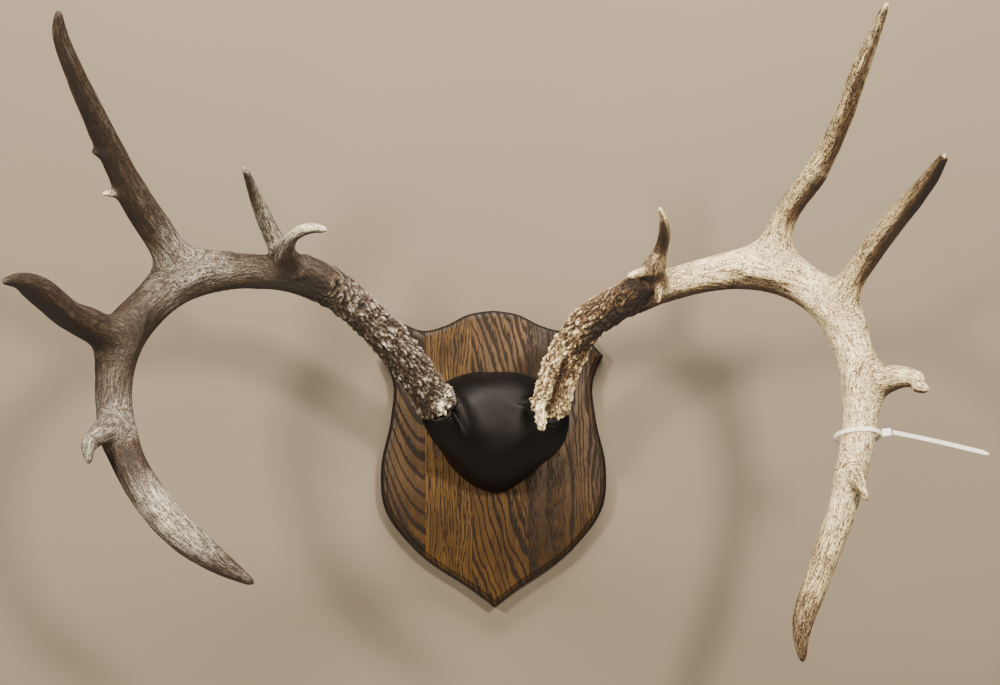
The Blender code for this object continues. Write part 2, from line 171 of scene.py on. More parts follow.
def lamp(name, place, size, watts, colour):
    """A rectangular area lamp at a place, in metres, that faces the middle of the mount."""
    data = bpy.data.lights.new(name, "AREA")
    data.shape = "RECTANGLE"
    data.size, data.size_y = size
    data.energy = watts
    data.color = linear(colour)[:3]
    aim = (CAMERA_AIM - Vector(place)).to_track_quat("-Z", "Y").to_matrix().to_4x4()
    new_object(name, data).matrix_world = Matrix.Translation(place) @ aim


stage_sheet("floor", (-STAGE_HALF, -STAGE_HALF, FLOOR_Z), (STAGE_HALF, STAGE_HALF, FLOOR_Z),
            ("#cfcac1", "#d9d4cb"))
wall = stage_sheet("wall", (-STAGE_HALF, WALL_Y, FLOOR_Z), (STAGE_HALF, WALL_Y, WALL_TOP),
                   ("#70675a", "#797063"), clear_back=True)
wall.visible_shadow = wall.visible_diffuse = wall.visible_glossy = wall.visible_transmission = False
lamp("lamp_right", (0.65, -1.7, 0.6), (0.22, 0.22), 45, "#fff0d8")
lamp("lamp_left", (-1.1, -1.5, 0.5), (0.22, 0.22), 37, "#fff0d8")
lamp("lamp_above", (0.05, -0.9, 1.6), (1.6, 0.3), 85, "#fff2e0")
world = bpy.data.worlds.new("studio")
world.use_nodes = True
feed(world.node_tree.nodes["Background"], Color="#dcdcda", Strength=0.17)
bpy.context.scene.world = world
print("stage: floor", FLOOR_Z, "m below the mount's middle, and three lamps")

# %% [markdown]
# ## Meshes from arrays
# Shapes here are arrays of points worked out with numpy. A closed tube or a turned piece is a
# grid whose rows each close on themselves, so one function lists the faces of any such grid.
# Points are kept in millimetres and turned to metres when they go into the mesh.

# %% Meshes
def grid_faces(rows, columns):
    """Quads between rows of points that each close on themselves."""
    row = np.arange(rows - 1)[:, None] * columns
    here = np.arange(columns)
    following = (here + 1) % columns
    quads = (row + here, row + following, row + columns + following, row + columns + here)
    return np.stack(quads, axis=-1).reshape(-1, 4).tolist()


def capped(grid):
    """Points and faces of a grid of rings (rows, columns, 3), with its two ends closed."""
    rows, columns = grid.shape[:2]
    faces = grid_faces(rows, columns)
    faces.append(list(range(columns))[::-1])
    faces.append(list(range((rows - 1) * columns, rows * columns)))
    return grid.reshape(-1, 3), faces


def mesh_object(name, points, faces, flat_above=None):
    """An object with its place in its mesh. Corners sharper than flat_above degrees stay sharp."""
    mesh = bpy.data.meshes.new(name)
    mesh.from_pydata((np.asarray(points) * MM).tolist(), [], faces)
    mesh.polygons.foreach_set("use_smooth", [len(face) < 5 for face in faces])
    if flat_above:
        mesh.set_sharp_from_angle(angle=math.radians(flat_above))
    return new_object(name, mesh)


print("a grid of 3 rings of 6 points has", len(grid_faces(3, 6)), "squares")


# %% Surfaces
def settled(piece):
    """Put the result of a piece's modifiers into its mesh."""
    result = bpy.data.meshes.new_from_object(piece.evaluated_get(bpy.context.evaluated_depsgraph_get()))
    piece.modifiers.clear()
    piece.data = result
    return piece


def surface(mesh):
    """Vertex places, in millimetres, and vertex normals."""
    rows = []
    for items, field in ((mesh.vertices, "co"), (mesh.vertex_normals, "vector")):
        flat = np.empty(len(items) * 3)
        items.foreach_get(field, flat)
        rows.append(flat.reshape(-1, 3))
    return rows[0] / MM, rows[1]


def write_points(mesh, points):
    """Move the vertices to points, in millimetres."""
    mesh.vertices.foreach_set("co", (points * MM).ravel())
    mesh.update()


def store(mesh, name, values):
    """Keep a number or a vector for each vertex, for materials to read."""
    kind, field = ("FLOAT", "value") if values.ndim == 1 else ("FLOAT_VECTOR", "vector")
    mesh.attributes.new(name, kind, "POINT").data.foreach_set(field, values.astype(np.float32).ravel())


# %% Skins and dressing
def reskin(piece, voxel):
    """Rebuild a closed piece as one skin of squares that are voxel mm wide."""
    remesh = piece.modifiers.new("skin", "REMESH")
    remesh.mode = "VOXEL"
    remesh.voxel_size = voxel * MM
    remesh.use_smooth_shade = True
    return settled(piece)


def voxel_skin(name, shells, voxel):
    """Join closed shells into one skin."""
    points, faces = [], []
    for shell_points, shell_faces in shells:
        start = sum(map(len, points))
        points.append(shell_points)
        faces += [[start + corner for corner in face] for face in shell_faces]
    return reskin(mesh_object(name, np.vstack(points), faces), voxel)


def dress(piece, material, slot, *replaced):
    """Give a piece its material, and hide the CAD nodes that it stands for. slot is not used."""
    piece.data.materials.clear()
    piece.data.materials.append(material)
    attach(piece, "root")
    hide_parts(*replaced)
    triangles = sum(len(face.vertices) - 2 for face in piece.data.polygons)
    print(f"{piece.name}: {triangles} triangles, stands for {len(replaced)} nodes")


# %% [markdown]
# ## Random numbers that repeat
# Bone and leather are irregular, yet the lesson has to give the same shape on each run. So
# randomness comes from a hash of whole-number cells of space and not from a generator. Blending
# it between the cells gives a smooth noise. Keeping the distance to one random point in each
# cell gives pebbles, which is how the pearls of an antler's base are made.

# %% Noise
def random_at(cells, seed):
    """A number from 0 to 1 for each whole-number cell, mixed from its coordinates by a hash."""
    cells = cells.astype(np.int64)
    mixed = cells[:, 0] * 73856093 ^ cells[:, 1] * 19349663 ^ cells[:, 2] * 83492791 ^ seed * 39916801
    mixed = (mixed ^ (mixed >> 13)) * 1274126177 & 0x7FFFFFFF
    mixed = (mixed ^ (mixed >> 16)) * 60493 & 0x7FFFFFFF
    return mixed / 0x7FFFFFFF


def noise(points, seed):
    """Smooth noise from 0 to 1: the corners of each cell, blended by t * t * (3 - 2t) on each axis."""
    cell = np.floor(points)
    t = points - cell
    t = t * t * (3 - 2 * t)
    total = np.zeros(len(points))
    for corner in itertools.product((0, 1), repeat=3):
        share = np.prod(np.where(corner, t, 1 - t), axis=1)
        total += share * random_at(cell + corner, seed)
    return total


def veins(points, seed):
    """Thin branching lines where the noise passes its middle: 1 - |2 * noise - 1|."""
    return 1 - np.abs(2 * noise(points, seed) - 1)


def pebbles(points, seed):
    """Distance to the nearest of one random point per cell, and that point's own random number."""
    cell = np.floor(points)
    best = np.full(len(points), 9.0)
    own = np.zeros(len(points))
    for offset in itertools.product((-1, 0, 1), repeat=3):
        near = cell + offset
        spot = near + np.stack([random_at(near, seed + i) for i in range(3)], axis=1)
        distance = np.linalg.norm(points - spot, axis=1)
        closer = distance < best
        best[closer] = distance[closer]
        own[closer] = random_at(near[closer], seed + 3)
    return best, own


def ease(low, high, values):
    """0 below low, 1 above high, and t * t * (3 - 2t) between."""
    t = np.clip((values - low) / (high - low), 0, 1)
    return t * t * (3 - 2 * t)


sample = noise(np.arange(3000).reshape(-1, 3) * 0.37, 1)
print("noise runs from", round(sample.min(), 2), "to", round(sample.max(), 2))

# %% [markdown]
# ## Limbs
# An antler is a set of tapering limbs: a main beam, and tines that rise from it. Each limb is a
# smooth curve through a few stations, and a station is a place and a radius. A frame of two
# directions is carried along the curve without twisting, so that every point near the limb has
# a distance along it and a place around it. Grooves and streaks follow those two numbers.

# %% Curves
def hermite(stations, step):
    """A smooth curve through stations: each stretch is a cubic with the end slopes of its neighbours.

    A slope is the mean of the rates on both sides, weighted by the other side's length.
    """
    points = np.asarray(stations, float)
    spans = np.linalg.norm(np.diff(points[:, :3], axis=0), axis=1)
    rates = np.diff(points, axis=0) / spans[:, None]
    slopes = np.repeat(rates[:1], len(points), axis=0)
    share = (spans[1:] / (spans[:-1] + spans[1:]))[:, None]
    slopes[1:-1] = rates[:-1] * share + rates[1:] * (1 - share)
    slopes[0] = 1.5 * rates[0] - 0.5 * slopes[1]
    slopes[-1] = 1.5 * rates[-1] - 0.5 * slopes[-2]
    stretches = []
    for i, span in enumerate(spans):
        t = np.linspace(0, 1, max(2, math.ceil(span / step) + 1))[:-1, None]
        stretches.append(
            (2 * t**3 - 3 * t**2 + 1) * points[i] + (t**3 - 2 * t**2 + t) * span * slopes[i]
            + (3 * t**2 - 2 * t**3) * points[i + 1] + (t**3 - t**2) * span * slopes[i + 1]
        )
    return np.vstack(stretches + [points[-1:]])


def unit(vectors):
    """Vectors scaled to length 1."""
    return vectors / np.linalg.norm(vectors, axis=-1, keepdims=True)


def distances(path):
    """The distance along a path of points at each of them."""
    return np.concatenate(([0.0], np.cumsum(np.linalg.norm(np.diff(path, axis=0), axis=1))))


arc = hermite(((0, 0, 0), (10, 10, 0), (20, 0, 0)), 1.0)
print("a curve through an arch 20 mm wide and 10 mm high is", round(distances(arc)[-1], 1), "mm long")

# %% Limbs
WEB_LENGTH = 17.0  # how far up a tine its root stays widened, in mm
LONGEST_TIP = 6.5  # the rounded end of a limb is at most this long, in mm


class Limb:
    """A beam, tine or spur: its middle line, its radius and its frame, read by distance s from its root."""

    def __init__(self, stations, across=(0.0, 0.0, 1.0), web=0.0, fillet=0.0, tones=((0, 0),), offset=0.0):
        self.samples = hermite(stations, 1.0)
        self.centre = self.samples[:, :3]
        self.along = distances(self.centre)
        self.tangents = unit(np.gradient(self.centre, self.along, axis=0))
        carried = []
        normal = np.asarray(across, float)
        for tangent in self.tangents:
            normal = unit(normal - tangent * normal.dot(tangent))
            carried.append(normal)
        self.normals = np.array(carried)
        self.tip = min(2.2 * self.samples[-1, 3], LONGEST_TIP)
        self.length = self.along[-1]
        self.span = (0.0, self.length)
        self.flat_start = self.flat_end = False
        self.web, self.fillet, self.offset = web, fillet, offset
        self.tone_places, self.tone_values = zip(*tones)

    def read(self, table, s):
        """Rows of a table at distances s."""
        return np.stack([np.interp(s, self.along, column) for column in table.T], axis=-1)

    def frame(self, s):
        """The directions at s: along the limb, across it, and to its side."""
        tangent, normal = (unit(self.read(table, s)) for table in (self.tangents, self.normals))
        return tangent, normal, np.cross(tangent, normal)

    def radius(self, s):
        """The radius at s. The tip is rounded off like an ellipse: r * sqrt(1 - t * t)."""
        past = np.clip((s - self.length + self.tip) / self.tip, 0, 1)
        return np.interp(s, self.along, self.samples[:, 3]) * np.sqrt(1 - past**2)

    def shell(self, step=2.0, sides=20):
        """A closed tube round the limb: centre + radius * (cos across + sin side), ring by ring."""
        start, end = self.span
        s = np.linspace(start, min(end, self.length * 0.9995), max(8, round((end - start) / step)))
        _, normal, side = self.frame(s)
        widen = 1 + self.web * np.exp(-((s / WEB_LENGTH) ** 2))
        turn = np.arange(sides) * math.tau / sides
        radius = self.radius(s)[:, None, None]
        ring = (np.cos(turn)[:, None] * normal[:, None] * widen[:, None, None]
                + np.sin(turn)[:, None] * side[:, None])
        return capped(self.read(self.centre, s)[:, None] + radius * ring)

    def locate(self, points):
        """For each point: s of the nearest place, its offsets across and to the side, and ahead of it."""
        inside = np.flatnonzero((self.along >= self.span[0] - 1) & (self.along <= self.span[1] + 1))
        rough = self.centre[inside[::8]]
        apart = (rough**2).sum(1) - 2 * points @ rough.T
        nearest = inside[::8][apart.argmin(1)]
        window = np.clip(nearest[:, None] + np.arange(-8, 9), inside[0], inside[-1])
        gaps = ((self.centre[window] - points[:, None]) ** 2).sum(2)
        nearest = window[np.arange(len(points)), gaps.argmin(1)]
        step = ((points - self.centre[nearest]) * self.tangents[nearest]).sum(1)
        s = np.clip(self.along[nearest] + step, *self.span)
        away = points - self.read(self.centre, s)
        tangent, normal, side = self.frame(s)
        return s, (away * normal).sum(1), (away * side).sum(1), (away * tangent).sum(1)


print("a straight limb 40 mm long has", len(Limb(((0, 0, 0, 5), (0, 0, 40, 2))).samples), "samples")

# %% [markdown]
# ## The skin of an antler
# Where a tine leaves the beam, the bone flows from one to the other in a broad web. A distance
# does this well: for each point, each limb gives how far outside its surface the point lies, and
# a smooth minimum of these distances is zero on one skin that fillets every fork. The limbs are
# first made as tubes and fused to an even net of squares. Then each point of the net is moved
# along its normal until the distance is zero.

# %% Distance to the skin
# Rounds of settling, the furthest that one moves a point, in mm, and the share of the way it goes.
SETTLE_ROUNDS, SETTLE_CAP, SETTLE_SHARE = 5, 2.5, 0.9
BLEND = 2.0  # how gradually streaks pass from one limb to the next, in mm


def smooth_minimum(a, b, width):
    """The smaller of a and b, less reach / 6 * (1 - |a - b| / reach) ** 3 where they are close."""
    reach = 1.3 * width
    near = np.clip(1 - np.abs(a - b) / reach, 0, 1)
    return np.minimum(a, b) - reach / 6 * near**3


def limb_gap(limb, s, x, y, ahead):
    """Distance outside one limb's surface: hypot(x / widened, y) - radius, with its ends closed.

    A cut end is a plane, and a tip is a point. Behind its root, which is buried in the beam, the
    limb fades out: the gap grows by 3 b * b / (b + 5) at a distance b behind.
    """
    wide = x / (1 + limb.web * np.exp(-((s / WEB_LENGTH) ** 2)))
    radius = limb.radius(s)
    gap = np.hypot(wide, y) - radius
    after, behind = np.maximum(ahead, 0), np.maximum(-ahead, 0)
    if limb.flat_end:
        gap = np.where(after > 0.01, np.hypot(np.maximum(gap, 0), after), gap)
    else:
        gap = np.where(after > 0.01, np.sqrt(wide**2 + y**2 + after**2) - radius, gap)
    if limb.flat_start:
        return np.where(behind > 0.01, np.hypot(np.maximum(gap, 0), behind), gap)
    return gap + 3 * behind**2 / (behind + 5)


def survey(points, limbs):
    """Distance to the skin, and for each point the limbs' shares, its flow coordinates and its tone.

    The flow coordinates are (radius * cos, radius * sin, distance from the burr), in mm.
    """
    gaps, leads, flows, tones = [], [], [], []
    for limb in limbs:
        s, x, y, ahead = limb.locate(points)
        gaps.append(limb_gap(limb, s, x, y, ahead))
        leads.append(gaps[-1] + 2 * np.maximum(-ahead, 0))
        spread = limb.radius(s) / (np.hypot(x, y) + 1e-6)
        flows.append(np.stack((spread * x, spread * y, s + limb.offset), axis=1))
        tones.append(np.interp(s, limb.tone_places, limb.tone_values))
    total = gaps[0]
    for limb, gap in zip(limbs[1:], gaps[1:]):
        total = smooth_minimum(total, gap, limb.fillet)
    leads = np.array(leads)
    shares = np.exp(-(leads - leads.min(0)) / BLEND)
    shares /= shares.sum(0)
    flow = (shares[:, :, None] * np.array(flows)).sum(0)
    return total, shares, flow, (shares * np.array(tones)).sum(0)


def settle(mesh, limbs):
    """Move each point along its normal until it lies on the skin."""
    for _ in range(SETTLE_ROUNDS):
        points, normals = surface(mesh)
        gap = np.clip(survey(points, limbs)[0], -SETTLE_CAP, SETTLE_CAP)
        write_points(mesh, points - normals * gap[:, None] * SETTLE_SHARE)


lift = -smooth_minimum(0.0, 0.0, 9.0)
print("a fillet 9 mm broad lifts the skin by", round(float(lift), 2), "mm where two limbs cross")

# %% [markdown]
# ## Relief of the bone
# While an antler grows, blood vessels run along it under the velvet, and they leave grooves in
# the bone. The burr and the base are rough with pearls, small hard fingers of bone that lie
# along the beam with dark gaps between them. The relief adds three things along the normal: long
# shallow swells, grooves that follow the limb, and pearls, which end short of the brow tine.

# %% Relief
BURR_LENGTH, BURR_SWELL, BURR_BEAD = 11.0, 0.4, 4.2
SWELL_SIZE, SWELL_HEIGHT = 24.0, 0.7
GROOVE, DRIFT, DRIFT_SIZE = (3.2, 3.2, 30.0), 2.2, 21.0
SMALL_PEARL, LARGE_PEARL, BEAD = (2.0, 2.0, 5.2), (2.9, 2.9, 9.0), (3.6, 3.6, 5.5)
PEARL_HEIGHT, PEARL_SINK, WANDER, WANDER_SIZE = 4.4, 1.1, 1.8, 5.0
RIDGE, RIDGE_HEIGHT = (2.5, 2.5, 15.0), 1.8
GRIT_SIZE, GRIT_HEIGHT = 1.5, 1.0
HOLLOW_DEPTH, THIN_LIMB = 4.0, 8.0  # relief is shallower where a limb's radius is below THIN_LIMB


def fingers(flow, size, seed):
    """Pointed bumps of many heights, one in each cell of a size: 1 - distance / 0.65."""
    distance, own = pebbles(flow / size, seed)
    return np.clip(1 - distance / 0.65, 0, 1) * (0.35 + 0.65 * own)


def dent(points, start, end, width):
    """A dent along a line: its depth exp(-(distance / width) ** 2), and the part of the line passed."""
    run = np.subtract(end, start)
    part = np.clip((points - start) @ run / (run @ run), 0, 1)
    away = np.linalg.norm(points - (start + part[:, None] * run), axis=1)
    return np.exp(-((away / width) ** 2)), part


def carve(mesh, limbs, rough_end, groove_depth, seed, hollow):
    """Add the relief to a settled skin, and store what the bone material reads.

    Height = swells - groove_depth * creases + rough * (pearls + ridges + grit) + the burr's beads.
    """
    points, normals = surface(mesh)
    _, shares, flow, tone = survey(points, limbs)
    s = flow[:, 2]
    rough = 1 - ease(0.88, 1.03, s / rough_end)
    calm = ease(0.45, 0.9, s / rough_end)  # pearls turn to ridges towards the end of the rough part

    drift = DRIFT * noise(flow / DRIFT_SIZE + 7, seed)[:, None] * (1, -1, 0)
    crease = 0.65 * veins(flow / GROOVE + drift, seed + 1) ** 3
    crease += 0.35 * veins(flow / GROOVE * 1.9, seed + 2) ** 3
    swell = 2 * noise(points / SWELL_SIZE, seed + 3) - 1

    wander = flow + WANDER * (noise(flow / WANDER_SIZE, seed + 30)[:, None] - 0.5) * (1, -1, 1)
    pearl = np.maximum(0.8 * fingers(wander, SMALL_PEARL, seed + 4), fingers(wander, LARGE_PEARL, seed + 9))
    ridge = veins(wander / RIDGE, seed + 14) ** 2
    grit = noise(points / GRIT_SIZE, seed + 16) - 0.5
    grain = (1.15 - 0.35 * s / rough_end) * (1 - 0.4 * calm) * (PEARL_HEIGHT * pearl - PEARL_SINK)
    grain += calm * RIDGE_HEIGHT * (ridge - 0.4) + GRIT_HEIGHT * grit
    collar = np.sin(math.pi * np.clip((s + 2) / (BURR_LENGTH + 4), 0, 1)) * shares[0]
    height = (SWELL_HEIGHT * swell - groove_depth * (crease - 0.25) * (1 - 0.7 * rough)
              + rough * grain + collar * (BURR_SWELL + BURR_BEAD * fingers(wander, BEAD, seed + 19)))
    height *= np.clip(np.hypot(flow[:, 0], flow[:, 1]) / THIN_LIMB, 0.12, 1)

    # Relief is low in creases and between pearls. The bone material paints those places darker, partly as
    # stain and partly as painted shade, and paints the tops lighter.
    smooth_relief = 0.5 - 0.5 * np.clip(1.1 * (crease - 0.3), -1, 1)
    rough_relief = 0.08 + (1 - calm) * 1.4 * pearl + calm * (0.9 * pearl + 0.6 * ridge) + 0.7 * grit
    relief = smooth_relief * (1 - rough) + rough_relief * rough
    # Painted shade: inside the hollow beside the right burr the bone is also painted darker, through its tone
    # and relief, as well as being dented.
    if hollow:
        depth = dent(points[:, [0, 2]], *hollow)[0] * np.clip(-2 * normals[:, 1], 0, 1)
        height -= depth * (HOLLOW_DEPTH + 0.7 * rough * grain)
        relief = relief * (1 - 0.7 * depth)
        tone = tone + 0.25 * depth
    write_points(mesh, points + normals * height[:, None])
    store(mesh, "flow", flow * MM)
    store(mesh, "relief", np.clip(relief, 0, 1))
    store(mesh, "rough", rough)
    # Painted shade: faces that point down are stored here so that the bone material paints them darker.
    store(mesh, "under", np.clip((-normals[:, 2] - 0.5) / 0.45, 0, 1))
    store(mesh, "tone", tone)


print("pearls lie in cells of", SMALL_PEARL, "and", LARGE_PEARL, "mm and rise up to", PEARL_HEIGHT, "mm")

# %% [markdown]
# ## The stations of each antler
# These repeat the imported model's own stations, in millimetres: x, y, z and radius, from the root
# to the tip. Each limb also has how much its root is widened along the beam, how broad its
# fillet is, and its tones. A tone is a distance from the root and a darkness, where 0 is bleached
# ivory and 1 is nearly black. A boss carries the brow tines out in front of each beam. The base
# of an antler is one piece and its crown is another, and they overlap by a hair.

# %% Stations
LEFT_BEAM = (
    (-50, -80, 42, 15.8), (-75, -106, 77, 15.6), (-105, -130, 110, 14.5), (-147, -151, 140, 15.6),
    (-185, -164, 147, 13.7), (-218, -170, 147, 14.6), (-252, -178, 138, 15.3), (-288, -193, 106, 16),
    (-302, -212, 51, 13.9), (-290, -223, -2, 13), (-254, -227, -54, 13), (-237, -227, -69, 12),
    (-221, -226, -81, 9.4), (-193, -221, -99, 2.6),
)
RIGHT_BEAM = (
    (45, -80, 39, 15.4), (58, -108, 85, 15.4), (74, -128, 109, 14.6), (124, -158, 133, 13.3),
    (191, -173, 146, 14.4), (219, -180, 144, 16), (248, -195, 127, 14.6), (273, -216, 80, 14.6),
    (275, -229, 30, 13.8), (259, -234, -43, 11.4), (240, -233, -94, 10), (225, -230, -141, 6.8),
    (226.5, -228, -162, 2.6),
)
LEFT_BROW = (
    # boss, back tine, hook tine, and two large pearls on the burr
    (((-116, -134, 119, 10), (-146, -160, 144, 12.2), (-165, -171, 152, 10.4)), 0, 3.5,
     ((0, 0.78), (30, 0.84), (50, 0.76))),
    (((-171, -168, 152, 9), (-183, -180, 174, 7.2), (-193, -200, 197, 5.3), (-201, -232, 220, 2.3)),
     0.2, 9, ((0, 0.6), (25, 0.36), (50, 0.42), (80, 0.48), (92, 0.5), (98, 0.15))),
    (((-169, -168, 150, 9.5), (-172, -186, 160, 7.4), (-166, -203, 170, 4.9), (-152, -216, 175, 4.2),
      (-138, -221, 173, 2.2)), 0.3, 9, ((0, 0.84), (14, 0.76), (30, 0.4), (45, 0.2), (60, 0.1), (80, 0))),
    (((-49, -92, 46, 3.6), (-48.5, -99, 42, 3.2), (-48, -103, 37, 2.4)), 0, 3, ((0, 0.3), (5, 0))),
    (((-43, -90, 53, 3.2), (-41, -98, 51, 2.4)), 0, 3, ((0, 0.3), (5, 0))),
)
LEFT_CROWN = (
    (((-252, -178, 141, 11.5), (-269, -196, 170, 13.2), (-284, -222, 195, 12.5), (-301, -262, 233, 9.8),
      (-315.5, -314, 273, 7.6), (-322, -341, 298, 5.2), (-320.5, -352, 309, 2.4)), 0.8, 24,
     ((0, 0.36), (30, 0.42), (60, 0.62), (90, 0.72), (200, 0.66), (235, 0.74), (256, 0.74))),
    (((-296, -204, 86, 13), (-315, -230, 97, 12.6), (-327, -258, 102.5, 11.2), (-341, -305, 116, 10.4),
      (-348, -338, 119, 6), (-353.5, -361, 115.5, 2)), 0.55, 20,
     ((0, 0.78), (26, 0.74), (56, 0.76), (116, 0.72), (156, 0.8), (172, 0.8), (176, 0.1))),
    (((-295, -218, 18, 10.5), (-307, -240, 15, 8), (-313.5, -250, 6, 5.8), (-312, -256, -8, 2.4)),
     0.7, 12, ((0, 0.45), (22, 0.52), (42, 0.52), (52, 0.45))),
    (((-284, -226, 200, 5), (-297, -235, 199, 3.4), (-308, -241, 198, 1.6)), 0, 6, ((0, 0.6), (24, 0.1))),
    (((-302, -258, 227, 5), (-312, -262, 226, 2.4)), 0, 6, ((0, 0.7), (10, 0.7))),
)
RIGHT_BROW = (
    # boss, brow tine, knob, spike and the burr's own knob
    (((84, -132, 113, 10.5), (106, -160, 130, 11.6), (121, -177, 141, 9.6)), 0, 4,
     ((0, 0.74), (35, 0.86), (50, 0.76))),
    (((121, -172, 139, 9.5), (123, -185, 150, 8.6), (126, -192, 159, 5.8), (127.5, -209, 174, 4.3),
      (121, -228, 190, 1.7)), 0.1, 7, ((0, 0.7), (14, 0.55), (26, 0.35), (45, 0.6), (58, 0.45), (66, 0.05))),
    (((124, -180, 146, 6), (112, -188, 143.5, 4.2), (99, -197, 139, 3)), 0.2, 5,
     ((0, 0.5), (12, 0.35), (20, 0.08), (34, 0))),
    (((125, -176, 142, 5), (126, -182, 131, 3.6), (124.5, -186, 119, 2)), 0.1, 5,
     ((0, 0.6), (12, 0.4), (26, 0.3))),
    (((39, -90, 44, 5.2), (36, -102, 34, 4.7), (36.5, -107, 20, 3.5)), 0, 4,
     ((0, 0.25), (12, 0.1), (20, 0))),
)
RIGHT_CROWN = (
    (((217, -180, 145, 11.5), (224, -198, 182, 10), (241, -234, 214, 9.4), (250, -252, 232, 8.3),
      (265, -315, 292, 5.9), (274, -342, 322, 2.2)), 1, 26,
     ((0, 0.04), (35, 0.1), (60, 0.2), (200, 0.25), (244, 0.4), (249, 0))),
    (((263, -205, 110, 11.5), (276, -231, 141, 9.8), (291, -270, 168, 8.6), (305, -322, 193, 6.6),
      (309, -358, 207, 2.8)), 0.8, 22,
     ((0, 0.08), (30, 0.15), (90, 0.2), (150, 0.36), (178, 0.52), (187, 0.5), (190, 0))),
    (((275, -224, 52, 11), (293, -238, 54, 9.6), (306, -250, 55, 8.1), (318, -258, 51, 6)),
     1.1, 15, ((0, 0.08), (25, 0.2), (45, 0.1), (55, 0))),
    (((264, -234, -13, 7.2), (267, -247, -22, 5.6), (272, -257, -39, 2.3)), 0.4, 8,
     ((0, 0.15), (20, 0.28), (36, 0.12))),
    (((240, -234, 212, 7), (250, -240, 218, 4)), 0, 7, ((0, 0.4), (13, 0.45))),
    (((311, -255, 52, 5), (316, -259, 52, 4.4)), 0, 3, ((0, 0.05), (8, 0))),
    (((312, -256, 48, 5), (320.5, -260.5, 44.5, 4.4)), 0, 3, ((0, 0.15), (5, 0.3), (9, 0))),
)
# Painted shadow: from about 426 to 460 mm the tone rises to paint the shadow that the fourth tine casts on
# the beam.
LEFT_TONES = (
    (0, 0.5), (50, 0.55), (100, 0.6), (136, 0.74), (160, 0.9), (185, 0.88), (198, 0.72), (215, 0.66),
    (250, 0.48), (285, 0.43), (316, 0.8), (340, 0.84), (358, 0.76), (379, 0.64), (398, 0.48),
    (414, 0.42), (426, 0.6), (436, 0.84), (448, 0.76), (460, 0.5), (475, 0.24), (530, 0.42),
    (556, 0.66), (572, 0.62),
)
RIGHT_TONES = (
    (0, 0.18), (50, 0.22), (85, 0.44), (108, 0.66), (122, 0.66), (136, 0.4), (152, 0.14), (200, 0.07),
    (260, 0.03), (350, 0.07), (400, 0.05), (470, 0.08), (530, 0.2), (566, 0.45), (596, 0.5),
)
LEFT_SEAM, RIGHT_SEAM, SEAM_OVERLAP = 206.0, 174.0, 0.8
# The right hollow is dented into the base and painted darker inside, as shade.
RIGHT_HOLLOW = ((54, 73), (44, 38), 3.6)  # x, z of the dark hollow's ends, and its width


print("beams:", *(round(Limb(beam).length) for beam in (LEFT_BEAM, RIGHT_BEAM)), "mm long")


# %% Antler pieces
def make_tines(beam, rows):
    """The tines of a beam, each with its frame turned to the beam where it leaves it."""
    tines = []
    for stations, web, fillet, tones in rows:
        at = ((beam.centre - np.array(stations[0][:3])) ** 2).sum(1).argmin()
        tines.append(Limb(stations, beam.tangents[at], web, fillet, tones, beam.along[at]))
    return tines


def antler_piece(name, beam_stations, tones, rows, other_rows, span, voxel, relief):
    """Fuse the tubes of a stretch of beam and its tines, settle the net, and carve its relief.

    The skin also feels the tines of the antler's other piece, so that the two meet flush.
    """
    beam = Limb(beam_stations, tones=tones)
    beam.span = (span[0], min(span[1], beam.length))
    beam.flat_start, beam.flat_end = True, span[1] < beam.length
    limbs = [beam] + make_tines(beam, rows)
    piece = voxel_skin(name, [limb.shell() for limb in limbs], voxel)
    limbs += make_tines(beam, other_rows)
    settle(piece.data, limbs)
    carve(piece.data, limbs, *relief)
    return piece


print("the base of an antler ends", LEFT_SEAM, "mm along the left beam and", RIGHT_SEAM, "mm along the right")

# %% [markdown]
# ## Antler finish
# Antler is bone. Rubbed tops and tips are polished ivory, blood and bark stain the hollows brown,
# and fine dark pores run along it. The material walks a ladder of colours by one number, the
# level, which rises with the limb's tone, in hollows, where it is stain and painted shade, on the
# underside, where it is painted shade, and in streaks and specks. Specks are drawn 0.7 mm wide,
# coarser than real pores, so that they show.

# %% Antler materials
BONE_IOR = 1.55
LEVELS = (0.0, 0.12, 0.27, 0.42, 0.58, 0.74, 0.88, 1.0)


